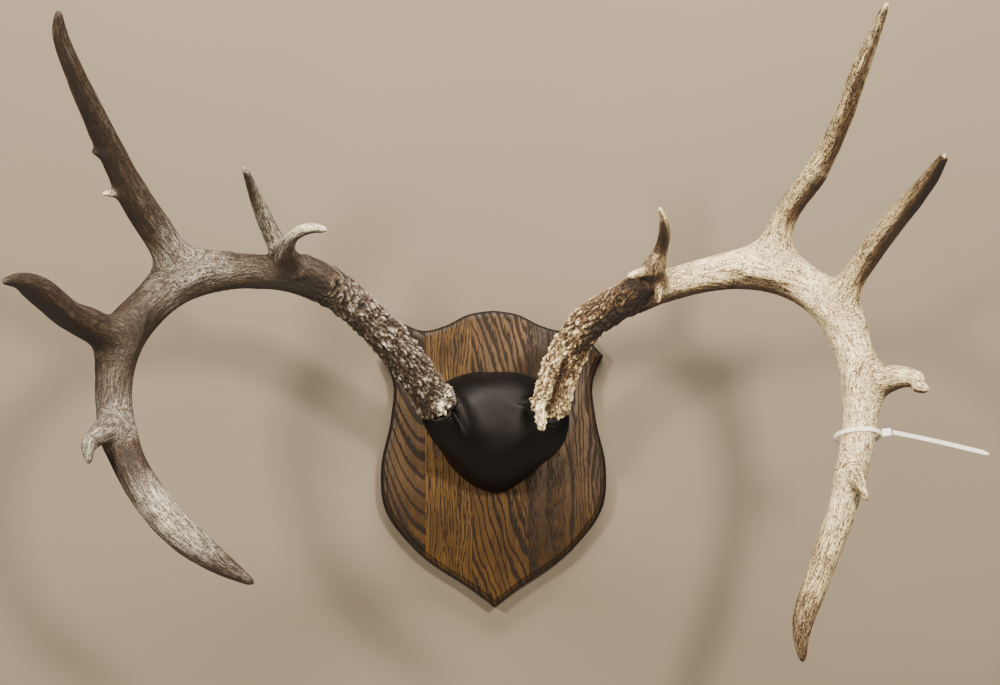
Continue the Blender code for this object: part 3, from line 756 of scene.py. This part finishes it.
def antler_material(name, colours, speck_start, speck_gain, streak_gain, broad_gain, patch_gain, underside_shade_gain):
    """Polished and stained antler bone: satin on its ridges and dull in its hollows."""
    made, add, shader, place = new_material(name)
    flow = add("Attribute", attribute_name="flow").outputs["Vector"]
    relief, rough, under, tone = (add("Attribute", attribute_name=layer).outputs["Fac"]
                                  for layer in ("relief", "rough", "under", "tone"))
    # Specks are 0.7 mm wide and 1.8 mm long, fine streaks 1.1 by 10 mm, broad ones 4 by 33 mm,
    # and patches 30 mm across.
    specks, streaks, broad = (
        add("TexNoise", add("Mapping", flow, Scale=scale), Scale=1.0, Detail=detail, Roughness=fine)
        for scale, detail, fine in (((1450, 1450, 560), 2.0, 0.65), ((900, 900, 100), 3.0, 0.6),
                                    ((250, 250, 30), 2.0, 0.5)))
    patches = add("TexNoise", place, Scale=33.0, Detail=2.0)
    mixed = add("Math", specks, 0.8, -0.15, operation=TIMES_PLUS)
    mixed = add("Math", streaks, 0.5, mixed, operation=TIMES_PLUS)
    dark = add("MapRange", mixed, speck_start, speck_start + 0.11)
    dark = add("Math", dark, add("MapRange", rough, 0.0, 1.0, 1.0, 0.6), operation=TIMES)
    level = add("Math", dark, speck_gain, tone, operation=TIMES_PLUS)
    for value, gain in ((streaks, streak_gain), (broad, broad_gain), (patches, patch_gain)):
        level = add("Math", add("Math", value, 0.5, operation=MINUS), gain, level, operation=TIMES_PLUS)
    # Painted shade: the level rises on undersides that face down.
    level = add("Math", under, underside_shade_gain, level, operation=TIMES_PLUS)
    # Stain and painted shade: the level rises where the relief is low, more so on the rough base.
    sunk = add("Math", 0.5, relief, operation=MINUS)
    level = add("Math", sunk, add("MapRange", rough, 0.0, 1.0, 0.35, 0.85), level, operation=TIMES_PLUS)
    height = add("Math", dark, -0.5, streaks, operation=TIMES_PLUS)
    feed(shader, Base_Color=add("ValToRGB", level, stops=zip(LEVELS, colours)),
         Roughness=add("MapRange", level, 0.1, 0.9, 0.36, 0.66), IOR=BONE_IOR,
         Subsurface_Weight=0.03, Subsurface_Scale=0.003,
         Normal=add("Bump", Strength=0.7, Distance=0.0007, Height=height))
    return made


grey_bone = antler_material(
    "grey_brown_antler_bone",
    ("#f8edd0", "#dad0b6", "#b2aa9c", "#827f79", "#59534a", "#44301a", "#2d1b07", "#140802"),
    0.47, 0.36, 0.5, 0.35, 0.4, 0.5)
pale_bone = antler_material(
    "pale_antler_bone",
    ("#fff4d2", "#f0dfb2", "#ccb990", "#968466", "#685134", "#462d14", "#2c1906", "#140802"),
    0.47, 0.5, 0.3, 0.3, 0.25, 0.75)
print("each bone material mixes", len(pale_bone.node_tree.nodes), "nodes")

# %% Build the antlers
BASE_VOXEL, CROWN_VOXEL = 0.65, 1.0
# Relief: where the pearls end, how deep the grooves are, the seed and the hollow.
LEFT_RELIEF, RIGHT_RELIEF = (170.0, 0.55, 20, None), (158.0, 0.35, 60, RIGHT_HOLLOW)
LEFT_NODES = ("burr beam_base brow_tine_back brow_tine_hook", "beam_middle beam_outer beam_lower beam_tip "
              "second_tine third_tine fourth_tine")
RIGHT_NODES = ("burr beam_base brow_tine brow_knob brow_spike", "beam_middle beam_outer beam_upper_side "
               "beam_lower_side beam_tip second_tine third_tine fourth_tine fifth_tine")
for side, beam, tones, brow, crown, seam, relief, bone, slot, nodes in (
        ("left", LEFT_BEAM, LEFT_TONES, LEFT_BROW, LEFT_CROWN, LEFT_SEAM, LEFT_RELIEF, grey_bone,
         "grey_brown_antler", LEFT_NODES),
        ("right", RIGHT_BEAM, RIGHT_TONES, RIGHT_BROW, RIGHT_CROWN, RIGHT_SEAM, RIGHT_RELIEF, pale_bone,
         "pale_antler", RIGHT_NODES)):
    for part, rows, other_rows, span, voxel, replaced in (
            ("base", brow, crown, (0.0, seam + SEAM_OVERLAP), BASE_VOXEL, nodes[0]),
            ("crown", crown, brow, (seam - SEAM_OVERLAP, math.inf), CROWN_VOXEL, nodes[1])):
        piece = antler_piece(f"{side}_antler_{part}", beam, tones, rows, other_rows, span, voxel, relief)
        dress(piece, bone, slot, *(f"{side}_{node}" for node in replaced.split()))

# %% [markdown]
# ## The skull cap cover
# Wet leather is pressed over the sawn skull cap and dries to its shape: a smooth dome that is
# drawn up tight to each burr. The dome is a surface of two parameters. One runs round the outline
# on the shield, and the other rises to the crown. The sleeves round the bony stumps are short
# limbs. The leather bridges the hollows between them, so the smooth minimum is a broad one.

# %% Dome of the cover
PLAQUE_THICKNESS = 19.0
COVER_HALF = ((0, -30), (13, -27), (30, -15), (43, 3), (50, 23), (51, 47), (46, 64), (29, 73.5), (0, 76))
CROWN_DEPTH, CROWN = 74.0, (0.0, 38.0)
DOME_TURN, DOME_FULLNESS = math.radians(89.5), 0.85
PEDICLE_ROOT, PEDICLE_RADII, SLEEVE_STRAIGHT = (8.0, -26.0, 18.0), (23.0, 19.5, 17.2), 14.0
COVER_BACK = -PLAQUE_THICKNESS - GAP
DOME_RISE = CROWN_DEPTH + COVER_BACK


def outline_ring(runs, step):
    """A closed ring of (x, z) points: half outlines between sharp corners, mirrored in x = 0."""
    curves = [hermite([(x, z, 0.0) for x, z in run], step)[:, :2] for run in runs]
    half = np.vstack([curves[0]] + [curve[1:] for curve in curves[1:]])
    return np.vstack((half, half[-2:0:-1] * (-1, 1)))


def dome_shell(rings=36):
    """Depth = back + sin(v) * rise, and the ring shrinks to the crown by cos(v) ** fullness."""
    ring = outline_ring((COVER_HALF,), 2.0)
    v = np.linspace(0, 1, rings)[:, None] * DOME_TURN
    shrink = (np.cos(v) ** DOME_FULLNESS)[:, :, None]
    flat = np.array(CROWN) * (1 - shrink) + ring * shrink
    depth = np.broadcast_to((COVER_BACK - np.sin(v) * DOME_RISE)[:, :, None], (*flat.shape[:2], 1))
    return capped(np.concatenate((flat[..., :1], depth, flat[..., 1:]), axis=2))


def dome_gap(points):
    """Distance outside the dome, nearly: (g - 1) / slope, where g = sqrt(r ** (2 / fullness) + d * d).

    r is the distance from the crown over the outline's own in that direction, and d the height
    over the dome's rise.
    """
    ring = outline_ring((COVER_HALF,), 1.0) - CROWN
    turn = np.arctan2(ring[:, 0], ring[:, 1])
    order = turn.argsort()
    flat = points[:, [0, 2]] - CROWN
    edge = np.interp(np.arctan2(flat[:, 0], flat[:, 1]), turn[order], np.linalg.norm(ring, axis=1)[order],
                     period=math.tau)
    r = np.linalg.norm(flat, axis=1) / edge + 1e-6
    d = np.maximum(COVER_BACK - points[:, 1], 0) / DOME_RISE
    power = 2 / DOME_FULLNESS
    g = np.sqrt(r**power + d**2)
    slope = np.hypot(power * r ** (power - 1) / edge, 2 * d / DOME_RISE) / (2 * g)
    return (g - 1) / slope


print("dome:", 2 * max(x for x, _ in COVER_HALF), "mm wide and", round(DOME_RISE, 1), "mm deep")

# %% Leather
LEATHER_BRIDGE, LEATHER_VOXEL, STRETCH_ROUNDS, STRETCH_CAP = 26.0, 1.0, 8, 1.5
RELAX_SHARE, LAST_ROUNDS = 0.5, 10
FOLD, FOLD_DEPTH, FOLD_FRONT = ((-35.5, 46.0), (-26.0, 12.0), 3.6), 8.5, -36.0
WOBBLE_SIZE, WOBBLE_HEIGHT, PULL_HEIGHT = 16.0, 0.5, 0.45


def sleeve(beam_stations, side):
    """The leather round one pedicle, from inside the dome to just short of the burr."""
    beam = Limb(beam_stations)
    end = beam.centre[0] - beam.tangents[0] * GAP
    middle = end - beam.tangents[0] * SLEEVE_STRAIGHT
    root = np.array(PEDICLE_ROOT) * (side, 1, 1)
    made = Limb([(*point, radius) for point, radius in zip((root, middle, end), PEDICLE_RADII)])
    made.tip = 1e-6
    made.flat_end = True
    return made


def relax(mesh, rounds):
    """Move each point half the way to the mean of its neighbours, round after round."""
    edges = np.empty(len(mesh.edges) * 2, int)
    mesh.edges.foreach_get("vertices", edges)
    ends = np.concatenate((edges.reshape(-1, 2), edges.reshape(-1, 2)[:, ::-1]))
    points = surface(mesh)[0]
    count = np.bincount(ends[:, 0], minlength=len(points))[:, None]
    for _ in range(rounds):
        total = [np.bincount(ends[:, 0], points[ends[:, 1], axis], len(points)) for axis in range(3)]
        points += RELAX_SHARE * (np.stack(total, 1) / count - points)
    write_points(mesh, points)


def stretch_leather(mesh, sleeves):
    """Draw the net tight over dome and sleeves, with a flat back."""
    for _ in range(STRETCH_ROUNDS):
        points, normals = surface(mesh)
        gap = dome_gap(points)
        for limb in sleeves:
            gap = smooth_minimum(gap, limb_gap(limb, *limb.locate(points)), LEATHER_BRIDGE)
        gap = np.clip(np.maximum(gap, points[:, 1] - COVER_BACK), -STRETCH_CAP, STRETCH_CAP)
        write_points(mesh, points - normals * gap[:, None] * SETTLE_SHARE)
        relax(mesh, 4)


def wrinkle(mesh, sleeves):
    """Press in the fold beside the left burr, and draw fine creases where the sleeves pull.

    The fold fades along its line by (1 - part ** 2) ** 2. A crease is a sine along the sleeve.
    """
    points, normals = surface(mesh)
    height = WOBBLE_HEIGHT * (noise(points / WOBBLE_SIZE, 7) - 0.5)
    depth, part = dent(points[:, [0, 2]], *FOLD)
    height -= FOLD_DEPTH * depth * (1 - part**2) ** 2 * (points[:, 1] < FOLD_FRONT)
    for limb in sleeves:
        s, x, y, ahead = limb.locate(points)
        pull = np.exp(-(((s - limb.length + 5) / 7) ** 2) - (ahead / 3) ** 2)
        pull *= np.exp(-((np.maximum(np.hypot(x, y) - limb.radius(s), 0) / 4) ** 2))
        height += PULL_HEIGHT * pull * np.sin(s * 2.1 + 4 * noise(points / 14, 5)) * noise(points / 11, 6)
    write_points(mesh, points + normals * height[:, None])


# %% Build the cover
# The net bunches up in the creases between the shells, so it is made even again and drawn tight
# a second time.
sleeves = [sleeve(LEFT_BEAM, -1), sleeve(RIGHT_BEAM, 1)]
cover = voxel_skin("leather_cover", [dome_shell()] + [limb.shell() for limb in sleeves], LEATHER_VOXEL)
stretch_leather(cover.data, sleeves)
reskin(cover, LEATHER_VOXEL)
stretch_leather(cover.data, sleeves)
relax(cover.data, LAST_ROUNDS)
wrinkle(cover.data, sleeves)
print("cover:", len(cover.data.vertices), "points")

# %% Cover material
def leather_material():
    """Black vegetable-tanned leather: satin, with pebbles 0.9 mm wide and faint browner wear."""
    made, add, shader, place = new_material("moulded_black_leather")
    cloud = add("TexNoise", place, Scale=45.0, Detail=4.0)
    height = add("Math", cloud, 0.6, add("TexVoronoi", place, Scale=1100.0), operation=TIMES_PLUS)
    soft_finish(add, shader, cloud, ("#030202", "#080605"), (0.46, 0.6), 0.35, 0.0003, height,
                Specular_IOR_Level=0.18)
    return made


dress(cover, leather_material(), "black_leather", "skull_cap_cover")

# %% [markdown]
# ## The oak shield
# The shield is glued up from five strips of oak, cut to a symmetric outline, and routed round its
# front edge. The outline is three smooth runs between sharp corners. Each level of the edge is
# that outline moved inwards, so the moulding is a profile carried round it.

# %% Outline of the shield
PLAQUE_RUNS = (
    ((0, 132), (22, 128.5), (44, 118), (62, 114), (79, 120)),
    ((79, 120), (87, 105), (99, 91)),
    ((99, 91), (89.5, 68), (91.5, 35), (100, -8), (97.5, -42), (70, -81), (17, -119), (0, -132)),
)
# The moulding: how far behind the face, and how far in from the outline, in mm.
MOULDING = (
    (19.0, 0.7), (18.3, 0.0), (8.0, 0.0), (6.6, 0.2), (5.2, 0.7), (4.1, 1.4), (3.3, 2.3), (2.7, 3.4),
    (2.3, 4.6), (2.1, 5.4), (1.9, 5.7), (0.5, 5.8), (0.15, 6.0), (0.0, 6.5),
)


def inset(ring, distance):
    """Move each point of a clockwise ring inwards, by the same distance from both its sides.

    Beside a sharp corner, points that would cross over it are put on the nearest sound point.
    """
    sides = unit(np.stack((ring - np.roll(ring, 1, axis=0), np.roll(ring, -1, axis=0) - ring)))
    inward = np.stack((sides[..., 1], -sides[..., 0]), axis=-1)
    moved = ring + distance * inward.sum(0) / (1 + (inward[0] * inward[1]).sum(1))[:, None]
    crossed = np.linalg.norm(moved[:, None] - ring, axis=2).min(1) < 0.985 * distance
    sound = moved[~crossed]
    nearest = np.linalg.norm(moved[crossed, None] - sound, axis=2).argmin(1)
    moved[crossed] = sound[nearest]
    return moved


outline = outline_ring(PLAQUE_RUNS, 2.0)
print("outline:", len(outline), "points")


# %% Turned and cut pieces
def turned(profile, centre, sides=32):
    """A closed turned body on an axis along Y: each profile point is (radius, distance along Y)."""
    profile = np.array(profile, float)
    turn = np.arange(sides) * math.tau / sides
    x = profile[:, :1] * np.cos(turn)
    z = profile[:, :1] * np.sin(turn)
    y = np.broadcast_to(profile[:, 1:], x.shape)
    return capped(np.stack((x, y, z), axis=-1)[:, ::-1] + centre)


def block(size, centre):
    """A box as a grid of two square rings."""
    corners = np.array(((-1, -1), (-1, 1), (1, 1), (1, -1))) / 2
    rings = [np.column_stack((corners[:, 0], np.full(4, y), corners[:, 1])) for y in (-0.5, 0.5)]
    return capped(np.array(rings) * size + centre)


def cut(piece, shells):
    """Cut closed shells out of a piece, and keep the result in its mesh."""
    tools = [mesh_object(f"tool_{i}", *shell) for i, shell in enumerate(shells)]
    for tool in tools:
        step = piece.modifiers.new(tool.name, "BOOLEAN")
        step.operation = "DIFFERENCE"
        step.object = tool
    settled(piece)
    for tool in tools:
        bpy.data.objects.remove(tool)


print("a box has", len(block((1, 1, 1), (0, 0, 0))[1]), "faces")

# %% Build the shield
HANGER_SIZE, HANGER_Z, HANGER_RECESS = (62.0, 14.0), 88.0, 3.4
SCREW_X, SCREW_Z, SCREW_HEAD, SCREW_RECESS, SHIELD_SHARP = 22.0, 12.0, 4.2, 3.0, 35
levels = []
for behind, distance in MOULDING:
    level = inset(outline, distance)
    back = np.full(len(level), behind - PLAQUE_THICKNESS)
    levels.append(np.column_stack((level[:, 0], back, level[:, 1])))
shield = mesh_object("oak_shield", *capped(np.array(levels)), flat_above=SHIELD_SHARP)
shaped = bmesh.new()
shaped.from_mesh(shield.data)
bmesh.ops.remove_doubles(shaped, verts=shaped.verts, dist=1e-6)
shaped.to_mesh(shield.data)
screw_hole = SCREW_HEAD + GAP
cut(shield, [block((HANGER_SIZE[0], 2 * HANGER_RECESS, HANGER_SIZE[1]), (0, 0, HANGER_Z))] + [
    turned(((screw_hole, -SCREW_RECESS), (screw_hole, SCREW_RECESS)), (side * SCREW_X, 0, SCREW_Z))
    for side in (-1, 1)])
shield.data.polygons.foreach_set("use_smooth", [abs(face.normal.y) < 0.999 for face in shield.data.polygons])
shield.data.set_sharp_from_angle(angle=math.radians(SHIELD_SHARP))
print("shield:", len(levels), "levels of moulding")

# %% [markdown]
# ## Oak finish
# Oak is ring porous: each year starts with a row of wide pores that soak up stain and go nearly
# black, and then grows dense, lighter wood. Sawn faces cut these rings at a slant, so each strip
# has its own figure. One number, the ring count, rises across a strip: rate_x * x + rate_z * z,
# less bow * (x - centre) ** 2 on the leftmost strip, whose rings hang like a chain. A colour ramp
# with hard steps over x hands each strip its own rates.

# %% Oak material
STRIP_SEAMS = (-61.2, -19.8, 29.8, 60.8)
# For each strip: rings per mm across, how strongly they are marked, rings per mm up, and bow.
STRIPS = ((0.0, 1.25, 0.062, 0.0026), (0.38, 0.62, 0.004, 0), (0.15, 1.0, 0.045, 0),
          (0.05, 0.42, -0.006, 0), (0.25, 0.85, 0.008, 0))
STRIP_COLOURS = ("#4c3514", "#684a1a", "#5a3e14", "#3d280a", "#4a320f")
BOARD_HALF, BOW_CENTRE = 101.0, -57.0


def oak_material():
    """Dark-stained oak under satin varnish: rings, dark pores 9 mm long, and a darker routed edge."""
    made, add, shader, place = new_material("stained_oak_satin_varnish")
    place = add("Mapping", place, Scale=(1000, 0, 1000))  # to mm
    x = add("SeparateXYZ", place).outputs["X"]
    across = add("MapRange", x, -BOARD_HALF, BOARD_HALF)
    starts = [0.0] + [(seam + BOARD_HALF) / (2 * BOARD_HALF) for seam in STRIP_SEAMS]
    strip, plain = (add("ValToRGB", across, stops=zip(starts, table)) for table in (STRIPS, STRIP_COLOURS))
    strip.color_ramp.interpolation = plain.color_ramp.interpolation = "CONSTANT"
    own_place = add("VectorMath", strip, (4000, 0, 9000), place, operation=TIMES_PLUS)
    # Rings bend over 22 by 77 mm, pores are 1.1 mm wide and 9 mm long, fibres 0.5 by 20 mm, and
    # clouds of stain 12 by 50 mm.
    bend, pores, fibres, cloud = (
        add("TexNoise", add("Mapping", own_place, Scale=scale), Scale=1.0, Detail=detail, Roughness=fine)
        for scale, detail, fine in (((0.045, 0, 0.013), 2.0, 0.5), ((0.9, 0, 0.11), 2.0, 0.6),
                                    ((2.0, 0, 0.05), 1.0, 0.5), ((0.08, 0, 0.02), 3.0, 0.5)))
    bent = add("VectorMath", bend.outputs["Color"], (22, 0, 8), place, operation=TIMES_PLUS)
    off = add("Math", x, BOW_CENTRE, operation=MINUS)
    bow = add("Math", add("Math", off, off, operation=TIMES), strip.outputs["Alpha"], operation=TIMES)
    count = add("Math", add("VectorMath", bent, strip, operation="DOT_PRODUCT"), bow, operation=MINUS)
    # Each ring starts sharply and fades over its own share of the year.
    year = add("TexWhiteNoise", W=add("Math", count, operation="FLOOR"), noise_dimensions="1D")
    width = add("MapRange", year, 0.0, 1.0, 0.25, 1.0)
    ring = add("MapRange", add("Math", count, operation="FRACT"), 0.0, width, 1.0, 0.0)
    ring = add("Math", ring, add("SeparateColor", strip).outputs["Green"], operation=TIMES)
    dark = add("MapRange", add("Math", ring, 0.5, pores, operation=TIMES_PLUS), 0.59, 0.72)
    shade = add("Math", fibres, 0.6, add("Math", cloud, 0.6, operation=TIMES), operation=TIMES_PLUS)
    shade = add("ValToRGB", shade, stops=((0.42, "#ffffff"), (0.78, "#756858")))
    wood = add("Mix", data_type="RGBA", blend_type=TIMES, Factor_Float=1.0, A_Color=plain, B_Color=shade)
    wood = add("Mix", data_type="RGBA", Factor_Float=add("Math", dark, 0.93, operation=TIMES),
               A_Color=wood, B_Color="#100602")
    facing = add("SeparateXYZ", add("NewGeometry").outputs["Normal"]).outputs["Y"]
    edge = add("MapRange", add("Math", facing, operation="ABSOLUTE"), 0.98, 0.85, 0.0, 0.85)
    feed(shader, Base_Color=add("Mix", data_type="RGBA", Factor_Float=edge, A_Color=wood, B_Color="#0b0502"),
         Roughness=add("MapRange", dark, 0.0, 1.0, 0.48, 0.75), Specular_IOR_Level=0.3,
         Normal=add("Bump", invert=True, Strength=0.6, Distance=0.0003, Height=dark))
    return made


dress(shield, oak_material(), "stained_oak", "plaque_board")

# %% [markdown]
# ## Hardware on the back
# A sawtooth hanger lies sunk in the back, so that the shield sits flat on the wall, and two
# countersunk screws run through it into the skull cap. Zinc plating is a dull bright metal with
# fine rub marks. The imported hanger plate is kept. The nails get domed heads, and the screws get
# a cross recess, because turned pieces are cheap to make round.

# %% Hardware
HANGER_PLATE = 1.0
NAIL_X, NAIL_HEAD, NAIL_SHANK, NAIL_DOME = 25.0, 1.9, 1.5, 0.8
CROSS_RECESS = (4.4, 1.4, 0.9)  # length, depth and width of each arm


def zinc_material():
    """Zinc-plated steel: a metal with rub marks about 0.4 mm wide and 8 mm long."""
    made, add, shader, place = new_material("zinc_plated_steel_rubbed")
    marks = add("TexNoise", add("Mapping", place, Scale=(125, 125, 2500)), Scale=1.0, Detail=4.0)
    soft_finish(add, shader, marks, ("#9a9a96", "#c4c3bd"), (0.45, 0.28), 0.2, 0.0001, Metallic=1.0)
    return made


zinc = zinc_material()
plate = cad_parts["hanger_plate"]
for held in plate.material_slots:
    held.material = zinc
nail_back = -HANGER_RECESS + GAP + HANGER_PLATE + GAP
head_back = -SCREW_RECESS + GAP
screw_profile = ((SCREW_HEAD - 1, head_back), (SCREW_HEAD, head_back + 1.2), (SCREW_HEAD, head_back + 1.6),
                 (SCREW_HEAD - 0.25, head_back + 1.8))
dome = [(NAIL_HEAD * math.cos(t), nail_back + 0.2 + NAIL_DOME * math.sin(t)) for t in np.linspace(0, 1.5, 8)]
for side, word in ((-1, "left"), (1, "right")):
    place = (side * NAIL_X, 0, HANGER_Z + 0.5)
    nail = mesh_object(f"nail_{word}", *turned([(NAIL_SHANK, nail_back), *dome], place), flat_above=50)
    dress(nail, zinc, "zinc_steel", f"hanger_nail_{word}")
    screw = mesh_object(f"screw_{word}", *turned(screw_profile, (side * SCREW_X, 0, SCREW_Z), sides=48),
                        flat_above=40)
    middle = (side * SCREW_X, head_back + 2.0, SCREW_Z)
    cut(screw, [block(arm, middle) for arm in (CROSS_RECESS, CROSS_RECESS[::-1])])
    screw.data.set_sharp_from_angle(angle=math.radians(40))
    dress(screw, zinc, "zinc_steel", f"back_screw_{word}")

# %% [markdown]
# ## The cable tie
# A white nylon tie is drawn round the right beam, and its tail stands out to the right. A strap is
# a rounded rectangle carried along a path, with a ladder of fine teeth moulded across one face.
# The head is a rounded block with a slot for the strap.

# %% Strap
TIE_WIDTH, TIE_THICKNESS = 3.4, 1.1
TOOTH_PITCH, TOOTH_DEPTH = 1.3, 0.22
SECTION_SIDES, SQUARENESS = 16, 0.35


def strap_rings(path, across, ladder):
    """Carry a rounded rectangle along a path: centre + thickness * outward + width * across.

    Its section is a superellipse, |x| ** squareness * sign(x) of a circle, and one face has teeth:
    depth * max(0, sin(2 pi s / pitch)) inside the ladder's range of s.
    """
    s = distances(path)
    outward = unit(np.cross(across, unit(np.gradient(path, axis=0))))
    turn = np.arange(SECTION_SIDES) * math.tau / SECTION_SIDES
    u, v = (np.sign(wave) * np.abs(wave) ** SQUARENESS * size / 2
            for wave, size in ((np.cos(turn), TIE_THICKNESS), (np.sin(turn), TIE_WIDTH)))
    tooth = TOOTH_DEPTH * np.clip(np.sin(math.tau * s / TOOTH_PITCH), 0, 1)
    tooth *= (s > ladder[0]) & (s < ladder[1])
    inner = (u < -0.2) & (np.abs(v) < 1.3)
    thick = u + inner * tooth[:, None]
    return path[:, None] + thick[..., None] * outward[:, None] + v[:, None] * across


print("strap:", TIE_WIDTH, "by", TIE_THICKNESS, "mm, with a tooth every", TOOTH_PITCH, "mm")

# %% Loop and head
TIE_CENTRE, TIE_RADIUS, TIE_TILT = (273.2, -227.9, 10.5), 17.8, math.radians(-17)
TIE_HEAD, TIE_HEAD_TURN = (7.5, 5.0, 6.5), math.radians(-20.5)
LOOP_LADDER, LOOP_STEPS, HEAD_EDGE, SLOT_ROOM, SLOT_REACH = (20, 90), 420, 1.1, 0.4, 20.0
tilt = np.array(Matrix.Rotation(TIE_TILT, 3, "X"))
out = np.array(Matrix.Rotation(TIE_TILT, 3, "X") @ Matrix.Rotation(TIE_HEAD_TURN, 3, "Z"))
ring_turn = np.linspace(0, math.tau, LOOP_STEPS)
ring_path = TIE_CENTRE + TIE_RADIUS * np.column_stack(
    (np.cos(ring_turn), np.sin(ring_turn), np.zeros(len(ring_turn)))) @ tilt.T
loop_points = strap_rings(ring_path, tilt[:, 2], LOOP_LADDER)[:-1].reshape(-1, 3)
loop = mesh_object("tie_loop", loop_points, [
    [corner % len(loop_points) for corner in face] for face in grid_faces(len(ring_path), SECTION_SIDES)])

head_x = TIE_RADIUS + TIE_THICKNESS / 2 + GAP + TIE_HEAD[0] / 2
head = mesh_object("tie_head", *block(TIE_HEAD, (0, 0, 0)))
edges = head.modifiers.new("edges", "BEVEL")
edges.width, edges.segments = HEAD_EDGE * MM, 4
settled(head)
cut(head, [block((SLOT_REACH, TIE_THICKNESS + SLOT_ROOM, TIE_WIDTH + SLOT_ROOM), (0, 0, 0))])
head_place = Matrix.Translation((np.array(TIE_CENTRE) + out @ (head_x, 0, 0)) * MM)
head.data.transform(head_place @ Matrix(out.tolist()).to_4x4())
head.data.shade_smooth()
head.data.set_sharp_from_angle(angle=math.radians(40))

print("the loop is", round(math.tau * TIE_RADIUS), "mm round")

# %% Tail
TAIL_LENGTH, TAIL_DROP, TAIL_POINT, TAIL_STEPS = 75.0, 17.2, 8.0, 180
part = np.linspace(0, 1, TAIL_STEPS)[:, None]
tail_start = np.array(TIE_CENTRE) + out @ (head_x + TIE_HEAD[0] / 2 + 2 * GAP, 0, 0)
tail_path = tail_start + part * (TAIL_LENGTH, 0, 0) - (0.85 * part + 0.15 * part**2) * (0, 0, TAIL_DROP)
tail_rings = strap_rings(tail_path, np.array((0.0, 0.0, 1.0)), (0, TAIL_LENGTH - TAIL_POINT))
narrow = 1 - 0.55 * ease(0.94, 1.0, part)[:, None]  # the tail ends in a point
tail_rings = tail_path[:, None] + (tail_rings - tail_path[:, None]) * np.where((0, 0, 1), narrow, 1)
tail = mesh_object("tie_tail", *capped(tail_rings), flat_above=60)
print("the tail is", round(distances(tail_path)[-1]), "mm long and drops by", TAIL_DROP, "mm")

# %% Nylon material
def nylon_material():
    """Natural white nylon: milky, slightly see-through, with a satin moulded skin."""
    made, add, shader, place = new_material("moulded_white_nylon")
    cloud = add("TexNoise", place, Scale=220.0, Detail=3.0)
    soft_finish(add, shader, cloud, ("#dfe0dd", "#f1f1ee"), (0.3, 0.42), 0.15, 0.0001, IOR=1.53,
                Subsurface_Weight=0.25, Subsurface_Scale=0.002)
    return made


nylon = nylon_material()
for piece, word in ((loop, "loop"), (head, "head"), (tail, "tail")):
    dress(piece, nylon, "white_nylon", f"cable_tie_{word}")
